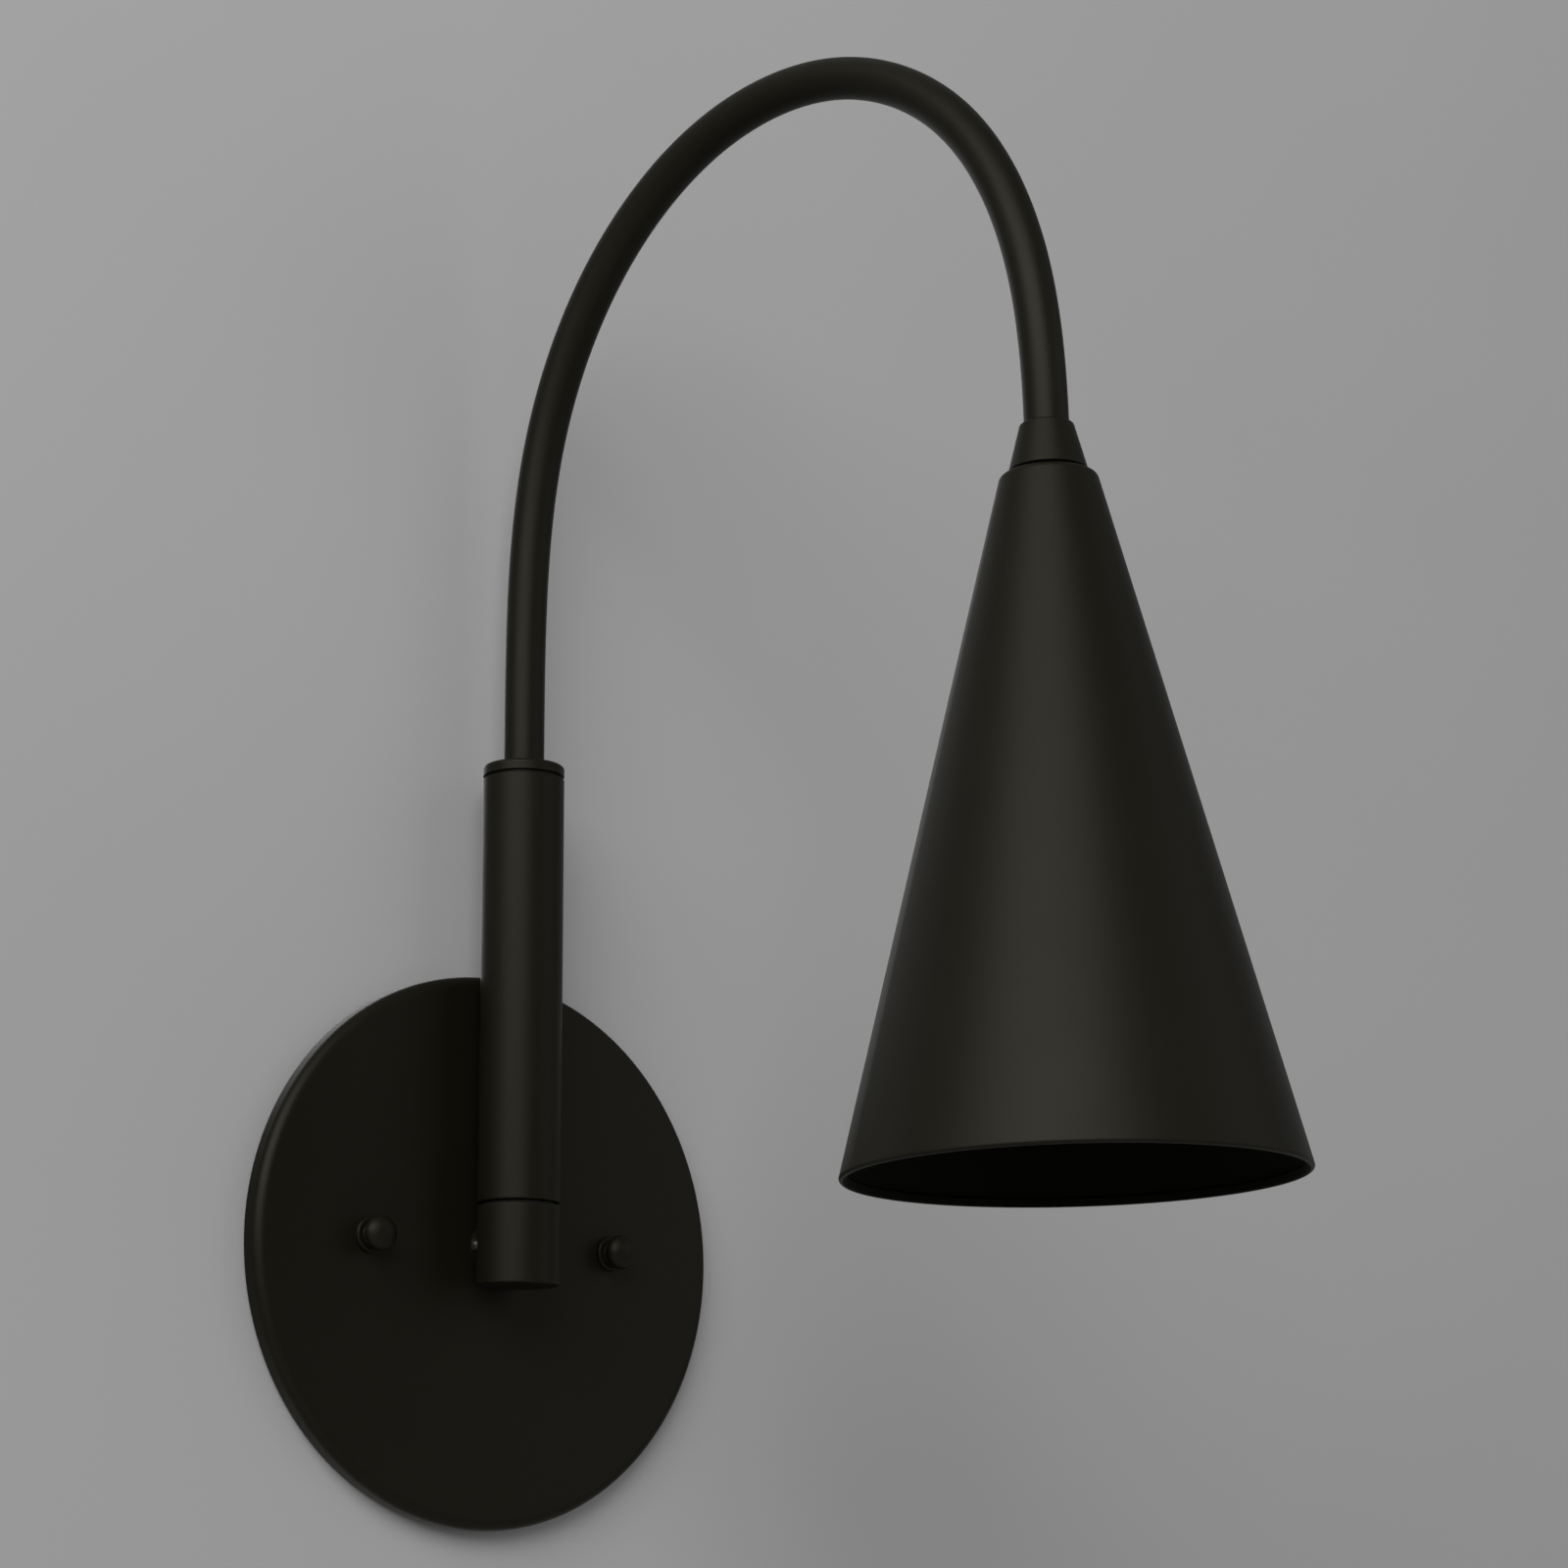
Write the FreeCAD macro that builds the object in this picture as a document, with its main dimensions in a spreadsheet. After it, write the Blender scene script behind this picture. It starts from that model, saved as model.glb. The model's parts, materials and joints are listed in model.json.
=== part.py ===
"""Gooseneck wall sconce: round wall plate, short swivelling stem, flexible hooked neck and a
slim cone shade. Millimetres. The origin is the centre of the plate's wall face, +Z is up and
the light stands out from the wall towards -Y."""

import FreeCAD, Part
import math
import os
import Sketcher
from FreeCAD import Placement, Rotation, Vector

DRIVING_SIZES = {
    # wall plate: a shallow pressed dish
    "plate_diameter": 127.0,
    "plate_depth": 5.5,
    "plate_wall": 1.2,
    "plate_edge_radius": 2.4,
    # crossbar behind the plate, screwed to the wall box
    "crossbar_end_margin": 4.55,
    "crossbar_width": 16.0,
    "crossbar_corner": 3.2,
    "crossbar_thickness": 1.5,
    "crossbar_entry_diameter": 9.0,
    "box_screw_spacing": 88.9,
    "box_slot_length": 10.0,
    "box_slot_width": 4.8,
    "earth_screw_place": 21.0,
    "earth_screw_diameter": 4.0,
    "earth_head_diameter": 7.5,
    "earth_head_height": 2.0,
    "earth_slot_width": 1.1,
    "earth_slot_depth": 1.0,
    # studs and cap nuts that hold the plate on the crossbar
    "stud_spacing": 67.6,
    "stud_rise": 1.1,
    "stud_diameter": 4.0,
    "stud_hole_clearance": 0.25,
    "stud_nut_across_flats": 7.0,
    "stud_nut_height": 2.2,
    "cap_flange_diameter": 8.2,
    "cap_flange_thickness": 1.2,
    "cap_waist_diameter": 5.6,
    "cap_head_diameter": 7.8,
    "cap_head_thickness": 4.8,
    "cap_head_standoff": 5.2,
    "cap_thread_depth": 5.0,
    # hollow nipple that holds the collar on the plate
    "nipple_diameter": 10.0,
    "nipple_bore": 7.4,
    "nipple_hole_clearance": 0.05,
    "nipple_tail": 0.1,
    "nipple_proud": 0.3,
    "nipple_nut_across_flats": 14.0,
    "nipple_nut_height": 1.9,
    "star_washer_thickness": 0.5,
    "star_washer_diameter": 15.0,
    "star_washer_root_diameter": 12.6,
    "star_washer_notch": 1.6,
    # collar, swivel and stem, all on one vertical axis
    "stem_diameter": 19.05,
    "collar_standoff": 0.3,
    "collar_boss_diameter": 13.0,
    "collar_height": 18.15,
    "collar_drop": 9.2,
    "collar_cavity_diameter": 14.0,
    "collar_floor": 2.6,
    "collar_roof": 4.4,
    "collar_edge_radius": 0.4,
    "set_screw_diameter": 3.2,
    "set_screw_proud": 1.0,
    "set_screw_angle": 124.5,
    "set_screw_socket": 1.5,
    "swivel_clearance": 0.05,
    "friction_washer_diameter": 16.6,
    "friction_washer_thickness": 0.6,
    "bush_height": 8.0,
    "wave_washer_thickness": 1.0,
    "wave_washer_diameter": 14.6,
    "pivot_nut_across_flats": 13.0,
    "pivot_nut_height": 4.0,
    "pivot_tail": 1.5,
    "sleeve_length": 99.4,
    "sleeve_wall": 1.5,
    "plug_groove": 0.75,
    "plug_groove_depth": 0.8,
    "plug_disc": 2.6,
    "plug_edge_radius": 0.9,
    "plug_spigot": 10.0,
    "arm_swing_angle": 7.0,
    # flexible neck: eight sections of one length, each bending by its own angle in degrees
    "neck_diameter": 9.5,
    "neck_bore": 6.9,
    "neck_section_length": 40.9,
    "neck_angle_1": 1.5,
    "neck_angle_2": 14.5,
    "neck_angle_3": 25.0,
    "neck_angle_4": 27.0,
    "neck_angle_5": 35.5,
    "neck_angle_6": 33.0,
    "neck_angle_7": 30.0,
    "neck_angle_8": 12.5,
    "neck_joint_gap": 0.15,
    "ferrule_wall": 1.4,
    "lower_ferrule_length": 12.0,
    "lock_ring_height": 3.0,
    # shade cap and what it hides
    "neck_fit": 0.05,
    "cap_entry_drop": 0.8,
    "shade_cap_height": 10.4,
    "shade_cap_top_diameter": 11.4,
    "shade_cap_foot_diameter": 16.8,
    "shade_cap_wall": 0.75,
    "shade_cap_edge_radius": 0.6,
    "upper_ferrule_height": 4.8,
    "upper_ferrule_diameter": 12.2,
    "upper_ferrule_grip": 1.8,
    "shade_washer_thickness": 0.8,
    "shade_washer_diameter": 14.4,
    # cone shade
    "shade_height": 146.5,
    "shade_top_diameter": 20.4,
    "shade_rim_diameter": 94.4,
    "shade_wall": 1.0,
    "shade_shoulder_radius": 1.6,
    "shade_bead": 0.5,
    "shade_bead_height": 1.6,
    "shade_nut_across_flats": 14.0,
    "shade_nut_height": 2.5,
    # lamp holder and bulb on the shade's axis
    "holder_drop": 5.2,
    "holder_neck_diameter": 14.0,
    "holder_diameter": 23.0,
    "holder_wall": 2.2,
    "holder_cap_height": 10.0,
    "holder_cap_taper": 7.0,
    "holder_cap_roof": 3.0,
    "holder_body_length": 26.0,
    "holder_floor": 3.0,
    "screw_shell_diameter": 13.2,
    "screw_shell_wall": 0.4,
    "contact_width": 3.0,
    "contact_thickness": 0.5,
    "contact_reach": 5.6,
    "contact_foot": 3.0,
    "bulb_base_diameter": 11.8,
    "bulb_base_length": 18.0,
    "bulb_tip_diameter": 4.0,
    "bulb_tip_height": 1.5,
    "bulb_diameter": 35.0,
    "bulb_length": 76.0,
    "bulb_glass": 0.9,
    "bulb_neck_length": 5.0,
    # two-core cable held inside from the wall box to the lamp holder
    "cable_diameter": 4.0,
    "cable_hole_clearance": 0.05,
    "cable_bend_radius": 8.0,
}
NECK_SECTIONS = 8
WASHER_NOTCHES = 12
UP = Vector(0, 0, 1)


class Size:
    """A length: the number, and the sheet expression that gives it."""

    def __init__(self, text, number):
        self.text = text
        self.number = number

    def combine(self, sign, other, number):
        text = other.text if isinstance(other, Size) else repr(other)
        return Size("(" + self.text + " " + sign + " " + text + ")", number)

    def __add__(self, other):
        return self.combine("+", other, self.number + number_of(other))

    def __sub__(self, other):
        return self.combine("-", other, self.number - number_of(other))

    def __mul__(self, other):
        return self.combine("*", other, self.number * number_of(other))

    def __truediv__(self, other):
        return self.combine("/", other, self.number / number_of(other))


def number_of(length):
    return length.number if isinstance(length, Size) else length


ZERO = Size("0", 0.0)

document = FreeCAD.newDocument("wall_sconce")
sheet = document.addObject("Spreadsheet::Sheet", "Sizes")
for row, (alias, number) in enumerate(DRIVING_SIZES.items(), start=1):
    sheet.set("A%d" % row, alias.replace("_", " "))
    sheet.set("B%d" % row, str(number))
    sheet.setAlias("B%d" % row, alias)
document.recompute()

pieces = []


def size(alias):
    return Size("Sizes." + alias, float(sheet.get(alias)))


def bind(thing, **lengths):
    for name, length in lengths.items():
        thing.setExpression(name, length.text)


def keep(thing, label, placement=None):
    """Name a finished sub-part, put it in its place and list it for writing."""
    thing.Label = label
    if placement is not None:
        thing.Placement = placement
    pieces.append(thing)
    return thing


# ---- building blocks -------------------------------------------------------------------

def cylinder(radius, height, place=None):
    thing = document.addObject("Part::Cylinder", "Cylinder")
    bind(thing, Radius=radius, Height=height)
    thing.Placement = place or Placement()
    return thing


def cone(foot_radius, top_radius, height, place=None):
    thing = document.addObject("Part::Cone", "Cone")
    bind(thing, Radius1=foot_radius, Radius2=top_radius, Height=height)
    thing.Placement = place or Placement()
    return thing


def ball(radius, place=None, half=False):
    thing = document.addObject("Part::Sphere", "Ball")
    bind(thing, Radius=radius)
    if half:
        thing.Angle1 = 0
    thing.Placement = place or Placement()
    return thing


def ellipsoid(half_length, radius, place):
    """A round body whose half length lies along the Z axis of its place."""
    thing = document.addObject("Part::Ellipsoid", "Ellipsoid")
    bind(thing, Radius1=half_length, Radius2=radius, Radius3=radius)
    thing.Placement = place
    return thing


def block(across, along, height, foot):
    """A block centred on the Z axis that stands at the height of its foot."""
    thing = document.addObject("Part::Box", "Block")
    bind(thing, Length=across, Width=along, Height=height)
    thing.Placement = at(across / -2, along / -2, foot)
    return thing


def hexagon(across_flats, height, place=None):
    thing = document.addObject("Part::Prism", "Hexagon")
    thing.Polygon = 6
    bind(thing, Circumradius=across_flats / math.sqrt(3), Height=height)
    thing.Placement = place or Placement()
    return thing


def torus_arc(bend_radius, tube_radius, turn, place):
    thing = document.addObject("Part::Torus", "TorusArc")
    bind(thing, Radius1=bend_radius, Radius2=tube_radius, Angle3=turn)
    thing.Placement = place
    return thing


def joined(*things):
    thing = document.addObject("Part::MultiFuse", "Joined")
    thing.Shapes = list(things)
    return thing


def without(base, *tools):
    thing = document.addObject("Part::Cut", "Without")
    thing.Base = base
    thing.Tool = tools[0] if len(tools) == 1 else joined(*tools)
    return thing


def pair(thing):
    """The piece and its twin across the plane x = 0, as one group of separate solids."""
    twin = document.addObject("Part::Mirroring", "Twin")
    twin.Source = thing
    twin.Normal = (1, 0, 0)
    group = document.addObject("Part::Compound", "Pair")
    group.Links = [thing, twin]
    return group


def at(x=0.0, y=0.0, z=0.0):
    return Placement(Vector(number_of(x), number_of(y), number_of(z)), Rotation())


def origin_plane(body, role):
    return next(plane for plane in body.Origin.OriginFeatures if plane.Role == role)


def sketch_on(body, role, name):
    sketch = body.newObject("Sketcher::SketchObject", name)
    sketch.AttachmentSupport = [(origin_plane(body, role), "")]
    sketch.MapMode = "FlatFace"
    return sketch


def pin_distance(sketch, kind, element, point, length):
    index = sketch.addConstraint(Sketcher.Constraint(kind, -1, 1, element, point, length.number))
    sketch.setExpression("Constraints[%d]" % index, length.text)


def pin_point(sketch, element, point, across, along):
    """Fix one point of a sketch at two lengths from the origin."""
    pin_distance(sketch, "DistanceX", element, point, across)
    pin_distance(sketch, "DistanceY", element, point, along)


def outline(sketch, corners):
    """A closed outline of straight sides through the given corners."""
    count = len(corners)
    first = sketch.GeometryCount
    for here, there in zip(corners, corners[1:] + corners[:1]):
        start = Vector(here[0].number, here[1].number, 0)
        end = Vector(there[0].number, there[1].number, 0)
        sketch.addGeometry(Part.LineSegment(start, end), False)
    for index in range(count):
        following = first + (index + 1) % count
        sketch.addConstraint(Sketcher.Constraint("Coincident", first + index, 2, following, 1))
    for index, (across, along) in enumerate(corners):
        pin_point(sketch, first + index, 1, across, along)


def round_hole(sketch, across, along, radius):
    centre = Vector(across.number, along.number, 0)
    index = sketch.addGeometry(Part.Circle(centre, Vector(0, 0, 1), radius.number), False)
    pin_point(sketch, index, 3, across, along)
    constraint = sketch.addConstraint(Sketcher.Constraint("Radius", index, radius.number))
    sketch.setExpression("Constraints[%d]" % constraint, radius.text)


def turned(corners):
    """A body turned about its own Z axis from a profile of (radius, height) corners."""
    body = document.addObject("PartDesign::Body", "Turned")
    sketch = sketch_on(body, "XZ_Plane", "Profile")
    outline(sketch, corners)
    revolution = body.newObject("PartDesign::Revolution", "Turning")
    revolution.Profile = sketch
    revolution.ReferenceAxis = (sketch, ["V_Axis"])
    revolution.Angle = 360
    document.recompute()
    return body


def extruded(corners, thickness):
    """A flat plate on the XY plane, from a straight-sided outline."""
    body = document.addObject("PartDesign::Body", "Extruded")
    sketch = sketch_on(body, "XY_Plane", "Outline")
    outline(sketch, corners)
    pad = body.newObject("PartDesign::Pad", "Pad")
    pad.Profile = sketch
    bind(pad, Length=thickness)
    document.recompute()
    return body


def pierce(body, holes):
    """Cut round holes (across, along, radius) right through along the body's Z axis."""
    before = body.Shape.Volume
    sketch = sketch_on(body, "XY_Plane", "Holes")
    for across, along, radius in holes:
        round_hole(sketch, across, along, radius)
    pocket = body.newObject("PartDesign::Pocket", "Pocket")
    pocket.Profile = sketch
    pocket.Type = "ThroughAll"
    pocket.Reversed = True
    document.recompute()
    if body.Shape.Volume >= before:
        raise RuntimeError("a hole cut nothing")


def round_rims(body, radius, rims):
    """Round the circular edges that lie at the given (radius, height) places."""
    tip = body.Tip
    names = []
    for index, edge in enumerate(tip.Shape.Edges, start=1):
        curve = edge.Curve
        if not isinstance(curve, Part.Circle):
            continue
        for across, along in rims:
            near = abs(curve.Radius - number_of(across)) < 1e-4
            if near and abs(curve.Center.z - number_of(along)) < 1e-4:
                names.append("Edge%d" % index)
    if len(names) != len(rims):
        raise RuntimeError("a rim to round was not found")
    fillet = body.newObject("PartDesign::Fillet", "Rounding")
    fillet.Base = (tip, names)
    bind(fillet, Radius=radius)
    document.recompute()


def ring(outer_radius, inner_radius, low, high):
    """A plain turned ring between two heights."""
    return turned([(inner_radius, low), (outer_radius, low),
                   (outer_radius, high), (inner_radius, high)])


# ---- frames: wall, stem, neck sections and head -------------------------------------------

stem_radius = size("stem_diameter") / 2
neck_radius = size("neck_diameter") / 2
neck_bore_radius = size("neck_bore") / 2
plate_front = size("plate_depth")
stem_offset = plate_front + size("collar_standoff") + stem_radius
collar_bottom = ZERO - size("collar_drop")
collar_top = collar_bottom + size("collar_height")
sleeve_bottom = collar_top + size("friction_washer_thickness") + size("swivel_clearance") * 2
sleeve_top = sleeve_bottom + size("sleeve_length")
plug_top = sleeve_top + size("plug_groove") + size("plug_disc")

WALL = Placement(Vector(), Rotation(Vector(1, 0, 0), 90))
STEM = Placement(Vector(0, -stem_offset.number, 0), Rotation())
swing = math.radians(size("arm_swing_angle").number)
OUTWARD = Vector(math.sin(swing), -math.cos(swing), 0)
SIDEWAYS = Vector(math.cos(swing), math.sin(swing), 0)


def section_turn(number):
    return size("neck_angle_%d" % number)


def section_bend_radius(number):
    return size("neck_section_length") * 180 / (section_turn(number) * math.pi)


def neck_frames():
    """The frame at the start of each neck section and at the neck's end: Z runs along the neck
    and X points to the side that it bends towards."""
    frames = []
    reach = 0.0
    height = plug_top.number
    heading = math.pi / 2
    for number in range(1, NECK_SECTIONS + 2):
        along = OUTWARD * math.cos(heading) + UP * math.sin(heading)
        inward = OUTWARD * math.sin(heading) - UP * math.cos(heading)
        place = STEM.Base + OUTWARD * reach + UP * height
        frames.append(Placement(place, Rotation(inward, SIDEWAYS, along, "XYZ")))
        if number > NECK_SECTIONS:
            break
        turn = math.radians(section_turn(number).number)
        bend = section_bend_radius(number).number
        reach += bend * (math.sin(heading) - math.sin(heading - turn))
        height += bend * (math.cos(heading - turn) - math.cos(heading))
        heading -= turn
    return frames


NECK = neck_frames()
HEAD = NECK[-1].multiply(Placement(Vector(), Rotation(Vector(0, 1, 0), 180)))


# ---- wall plate, crossbar and fasteners: Z is the distance out from the wall ---------------

stud_place = size("stud_spacing") / 2
stud_rise = size("stud_rise")
stud_radius = size("stud_diameter") / 2
nipple_radius = size("nipple_diameter") / 2
crossbar_front = size("crossbar_thickness")
plate_inside = plate_front - size("plate_wall")


def make_backplate():
    outer = size("plate_diameter") / 2
    inner = outer - size("plate_wall")
    body = turned([(ZERO, plate_inside), (inner, plate_inside), (inner, ZERO),
                   (outer, ZERO), (outer, plate_front), (ZERO, plate_front)])
    round_rims(body, size("plate_edge_radius"), [(outer, plate_front)])
    round_rims(body, size("plate_edge_radius") - size("plate_wall"), [(inner, plate_inside)])
    hole = stud_radius + size("stud_hole_clearance")
    pierce(body, [(stud_place, stud_rise, hole), (ZERO - stud_place, stud_rise, hole),
                  (ZERO, ZERO, nipple_radius + size("nipple_hole_clearance"))])
    keep(body, "backplate", WALL)


def make_crossbar():
    half = (size("box_screw_spacing") + size("box_slot_length")) / 2 + size("crossbar_end_margin")
    wide = size("crossbar_width") / 2
    corner = size("crossbar_corner")
    body = extruded([(half, ZERO - wide + corner), (half, wide - corner), (half - corner, wide),
                     (corner - half, wide), (ZERO - half, wide - corner),
                     (ZERO - half, corner - wide), (corner - half, ZERO - wide),
                     (half - corner, ZERO - wide)], crossbar_front)
    pierce(body, [(stud_place, stud_rise, stud_radius), (ZERO - stud_place, stud_rise, stud_radius),
                  (ZERO, ZERO, size("crossbar_entry_diameter") / 2),
                  (size("earth_screw_place"), ZERO, size("earth_screw_diameter") / 2)])
    slots = sketch_on(body, "XY_Plane", "Slots")
    slot_radius = size("box_slot_width") / 2
    straight = size("box_slot_length") / 2 - slot_radius
    for side in (1, -1):
        centre = size("box_screw_spacing") / 2 * side
        slot(slots, centre, straight, slot_radius)
    pocket = body.newObject("PartDesign::Pocket", "SlotPocket")
    pocket.Profile = slots
    pocket.Type = "ThroughAll"
    pocket.Reversed = True
    keep(body, "crossbar", WALL)


def slot(sketch, centre, straight, radius):
    """A slot along X: two straight sides and two half-round ends."""
    low = centre - straight
    high = centre + straight
    first = sketch.GeometryCount
    top = radius.number
    sketch.addGeometry(Part.LineSegment(Vector(low.number, -top, 0), Vector(high.number, -top, 0)), False)
    sketch.addGeometry(Part.ArcOfCircle(Part.Circle(Vector(high.number, 0, 0), UP, top),
                                        -math.pi / 2, math.pi / 2), False)
    sketch.addGeometry(Part.LineSegment(Vector(high.number, top, 0), Vector(low.number, top, 0)), False)
    sketch.addGeometry(Part.ArcOfCircle(Part.Circle(Vector(low.number, 0, 0), UP, top),
                                        math.pi / 2, 3 * math.pi / 2), False)
    for index in range(4):
        sketch.addConstraint(Sketcher.Constraint(
            "Coincident", first + index, 2, first + (index + 1) % 4, 1))
    pin_point(sketch, first, 1, low, ZERO - radius)
    pin_point(sketch, first, 2, high, ZERO - radius)
    pin_point(sketch, first + 2, 1, high, radius)
    pin_point(sketch, first + 2, 2, low, radius)
    pin_distance(sketch, "DistanceX", first + 1, 3, high)
    pin_distance(sketch, "DistanceX", first + 3, 3, low)


def make_plate_fasteners():
    head_centre = plate_front + size("cap_head_standoff")
    stud_top = plate_front + size("cap_thread_depth")
    here = (stud_place, stud_rise)
    stud = cylinder(stud_radius, stud_top, at(*here))
    keep(pair(stud), "mounting_studs", WALL)
    nut = without(hexagon(size("stud_nut_across_flats"), size("stud_nut_height"),
                          at(*here, crossbar_front)),
                  cylinder(stud_radius, plate_front, at(*here)))
    keep(pair(nut), "stud_lock_nuts", WALL)
    flange = cylinder(size("cap_flange_diameter") / 2, size("cap_flange_thickness"),
                      at(*here, plate_front))
    waist = cylinder(size("cap_waist_diameter") / 2, size("cap_head_standoff"),
                     at(*here, plate_front))
    head = ellipsoid(size("cap_head_thickness") / 2, size("cap_head_diameter") / 2,
                     at(*here, head_centre))
    thread = cylinder(stud_radius, stud_top + size("stud_hole_clearance"), at(*here))
    keep(pair(without(joined(flange, waist, head), thread)), "cap_nuts", WALL)


def make_earth_screw():
    head_top = crossbar_front + size("earth_head_height")
    shank = cylinder(size("earth_screw_diameter") / 2, crossbar_front)
    head = cylinder(size("earth_head_diameter") / 2, size("earth_head_height"), at(z=crossbar_front))
    driver_slot = block(size("earth_head_diameter"), size("earth_slot_width"),
                        size("earth_slot_depth"), head_top - size("earth_slot_depth"))
    keep(without(joined(shank, head), driver_slot), "earth_screw",
         WALL.multiply(at(size("earth_screw_place"))))


washer_inside = plate_inside - size("star_washer_thickness")
nipple_nut_inside = washer_inside - size("nipple_nut_height")
nipple_inner_end = nipple_nut_inside - size("nipple_tail")
nipple_outer_end = stem_offset - size("collar_cavity_diameter") / 2 + size("nipple_proud")


def make_nipple():
    keep(ring(nipple_radius, size("nipple_bore") / 2, nipple_inner_end, nipple_outer_end),
         "entry_nipple", WALL)
    nut = without(hexagon(size("nipple_nut_across_flats"), size("nipple_nut_height"),
                          at(z=nipple_nut_inside)),
                  cylinder(nipple_radius, plate_front))
    keep(nut, "nipple_nut", WALL)


def make_star_washer():
    """A lock washer whose teeth are left between notches cut in from its rim."""
    rim = size("star_washer_diameter") / 2
    root = size("star_washer_root_diameter") / 2
    half_notch = size("star_washer_notch") / 2
    body = ring(rim, nipple_radius, washer_inside, plate_inside)
    sketch = sketch_on(body, "XY_Plane", "Notch")
    outline(sketch, [(root, ZERO - half_notch), (rim + half_notch, ZERO - half_notch),
                     (rim + half_notch, half_notch), (root, half_notch)])
    notch = body.newObject("PartDesign::Pocket", "NotchPocket")
    notch.Profile = sketch
    notch.Type = "ThroughAll"
    notch.Reversed = True
    notches = body.newObject("PartDesign::PolarPattern", "Notches")
    notches.Originals = [notch]
    notches.Axis = (sketch, ["N_Axis"])
    notches.Angle = 360
    notches.Occurrences = WASHER_NOTCHES
    body.Tip = notches
    keep(body, "star_washer", WALL)


# ---- collar, swivel and stem: Z is the height above the plate's centre ---------------------

cavity_radius = size("collar_cavity_diameter") / 2
roof_bottom = collar_top - size("collar_roof")
pivot_radius = nipple_radius
nut_bottom = sleeve_bottom + size("bush_height") + size("wave_washer_thickness") + size("swivel_clearance")
pivot_top = nut_bottom + size("pivot_nut_height") + size("pivot_tail")
SCREW_DIRECTION = -math.radians(size("set_screw_angle").number) - math.pi / 2


def towards_wall():
    """A frame on the stem axis whose Z runs to the wall."""
    return Placement(Vector(), Rotation(Vector(1, 0, 0), -90))


def set_screw_frame():
    direction = Vector(math.cos(SCREW_DIRECTION), math.sin(SCREW_DIRECTION), 0)
    return Placement(direction * cavity_radius.number, Rotation(UP, direction))


def make_collar():
    """A short drum with a boss that seats on the plate, hollowed for the cable's turn."""
    drum = turned([(ZERO, collar_bottom), (stem_radius, collar_bottom), (stem_radius, collar_top),
                   (ZERO, collar_top)])
    round_rims(drum, size("collar_edge_radius"),
               [(stem_radius, collar_bottom), (stem_radius, collar_top)])
    boss = cylinder(size("collar_boss_diameter") / 2, stem_offset - plate_front, towards_wall())
    floor = collar_bottom + size("collar_floor")
    cavity = cylinder(cavity_radius, roof_bottom - floor, at(z=floor))
    pivot_hole = cylinder(pivot_radius, collar_top - floor, at(z=floor))
    entry = cylinder(nipple_radius, stem_offset, towards_wall())
    screw_hole = cylinder(size("set_screw_diameter") / 2, stem_radius, set_screw_frame())
    keep(without(joined(drum, boss), cavity, pivot_hole, entry, screw_hole), "collar", STEM)


def make_set_screw():
    length = stem_radius - cavity_radius + size("set_screw_proud")
    shank = cylinder(size("set_screw_diameter") / 2, length)
    socket = hexagon(size("set_screw_socket"), length, at(z=length / 2))
    keep(without(shank, socket), "collar_set_screw", STEM.multiply(set_screw_frame()))


def make_swivel():
    keep(ring(pivot_radius, size("nipple_bore") / 2, roof_bottom, pivot_top), "pivot_tube", STEM)
    washer_top = collar_top + size("friction_washer_thickness")
    keep(ring(size("friction_washer_diameter") / 2, pivot_radius, collar_top, washer_top),
         "friction_washer", STEM)
    keep(ring(size("wave_washer_diameter") / 2, pivot_radius,
              nut_bottom - size("wave_washer_thickness"), nut_bottom), "wave_washer", STEM)
    nut = without(hexagon(size("pivot_nut_across_flats"), size("pivot_nut_height"), at(z=nut_bottom)),
                  cylinder(pivot_radius, pivot_top, at()))
    keep(nut, "pivot_nut", STEM)


sleeve_bore = stem_radius - size("sleeve_wall")
spigot_bottom = sleeve_top - size("plug_spigot")
ferrule_radius = neck_radius + size("ferrule_wall")
ferrule_top = sleeve_top
ferrule_bottom = ferrule_top - size("lower_ferrule_length")


def make_stem():
    sleeve = ring(stem_radius, sleeve_bore, sleeve_bottom, sleeve_top)
    round_rims(sleeve, size("collar_edge_radius"), [(stem_radius, sleeve_bottom)])
    keep(sleeve, "stem_sleeve", STEM)
    keep(ring(sleeve_bore, pivot_radius + size("swivel_clearance"), sleeve_bottom,
              sleeve_bottom + size("bush_height")), "swivel_bush", STEM)
    groove_radius = stem_radius - size("plug_groove_depth")
    disc_bottom = sleeve_top + size("plug_groove")
    entry = neck_radius + size("neck_fit")
    plug = turned([(entry, plug_top), (entry, ferrule_top), (ferrule_radius, ferrule_top),
                   (ferrule_radius, spigot_bottom), (sleeve_bore, spigot_bottom),
                   (sleeve_bore, sleeve_top), (groove_radius, sleeve_top),
                   (groove_radius, disc_bottom), (stem_radius, disc_bottom),
                   (stem_radius, plug_top)])
    round_rims(plug, size("plug_edge_radius"), [(stem_radius, plug_top)])
    keep(plug, "stem_top_plug", STEM)
    keep(ring(ferrule_radius, neck_radius, ferrule_bottom, ferrule_top), "neck_lower_ferrule", STEM)
    keep(ring(sleeve_bore, ferrule_radius, spigot_bottom - size("lock_ring_height"), spigot_bottom),
         "neck_lock_ring", STEM)


# ---- flexible neck ---------------------------------------------------------------------------

def tube(outer_radius, inner_radius, length, place):
    outer = cylinder(outer_radius, length, place)
    return without(outer, cylinder(inner_radius, length, place))


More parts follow.
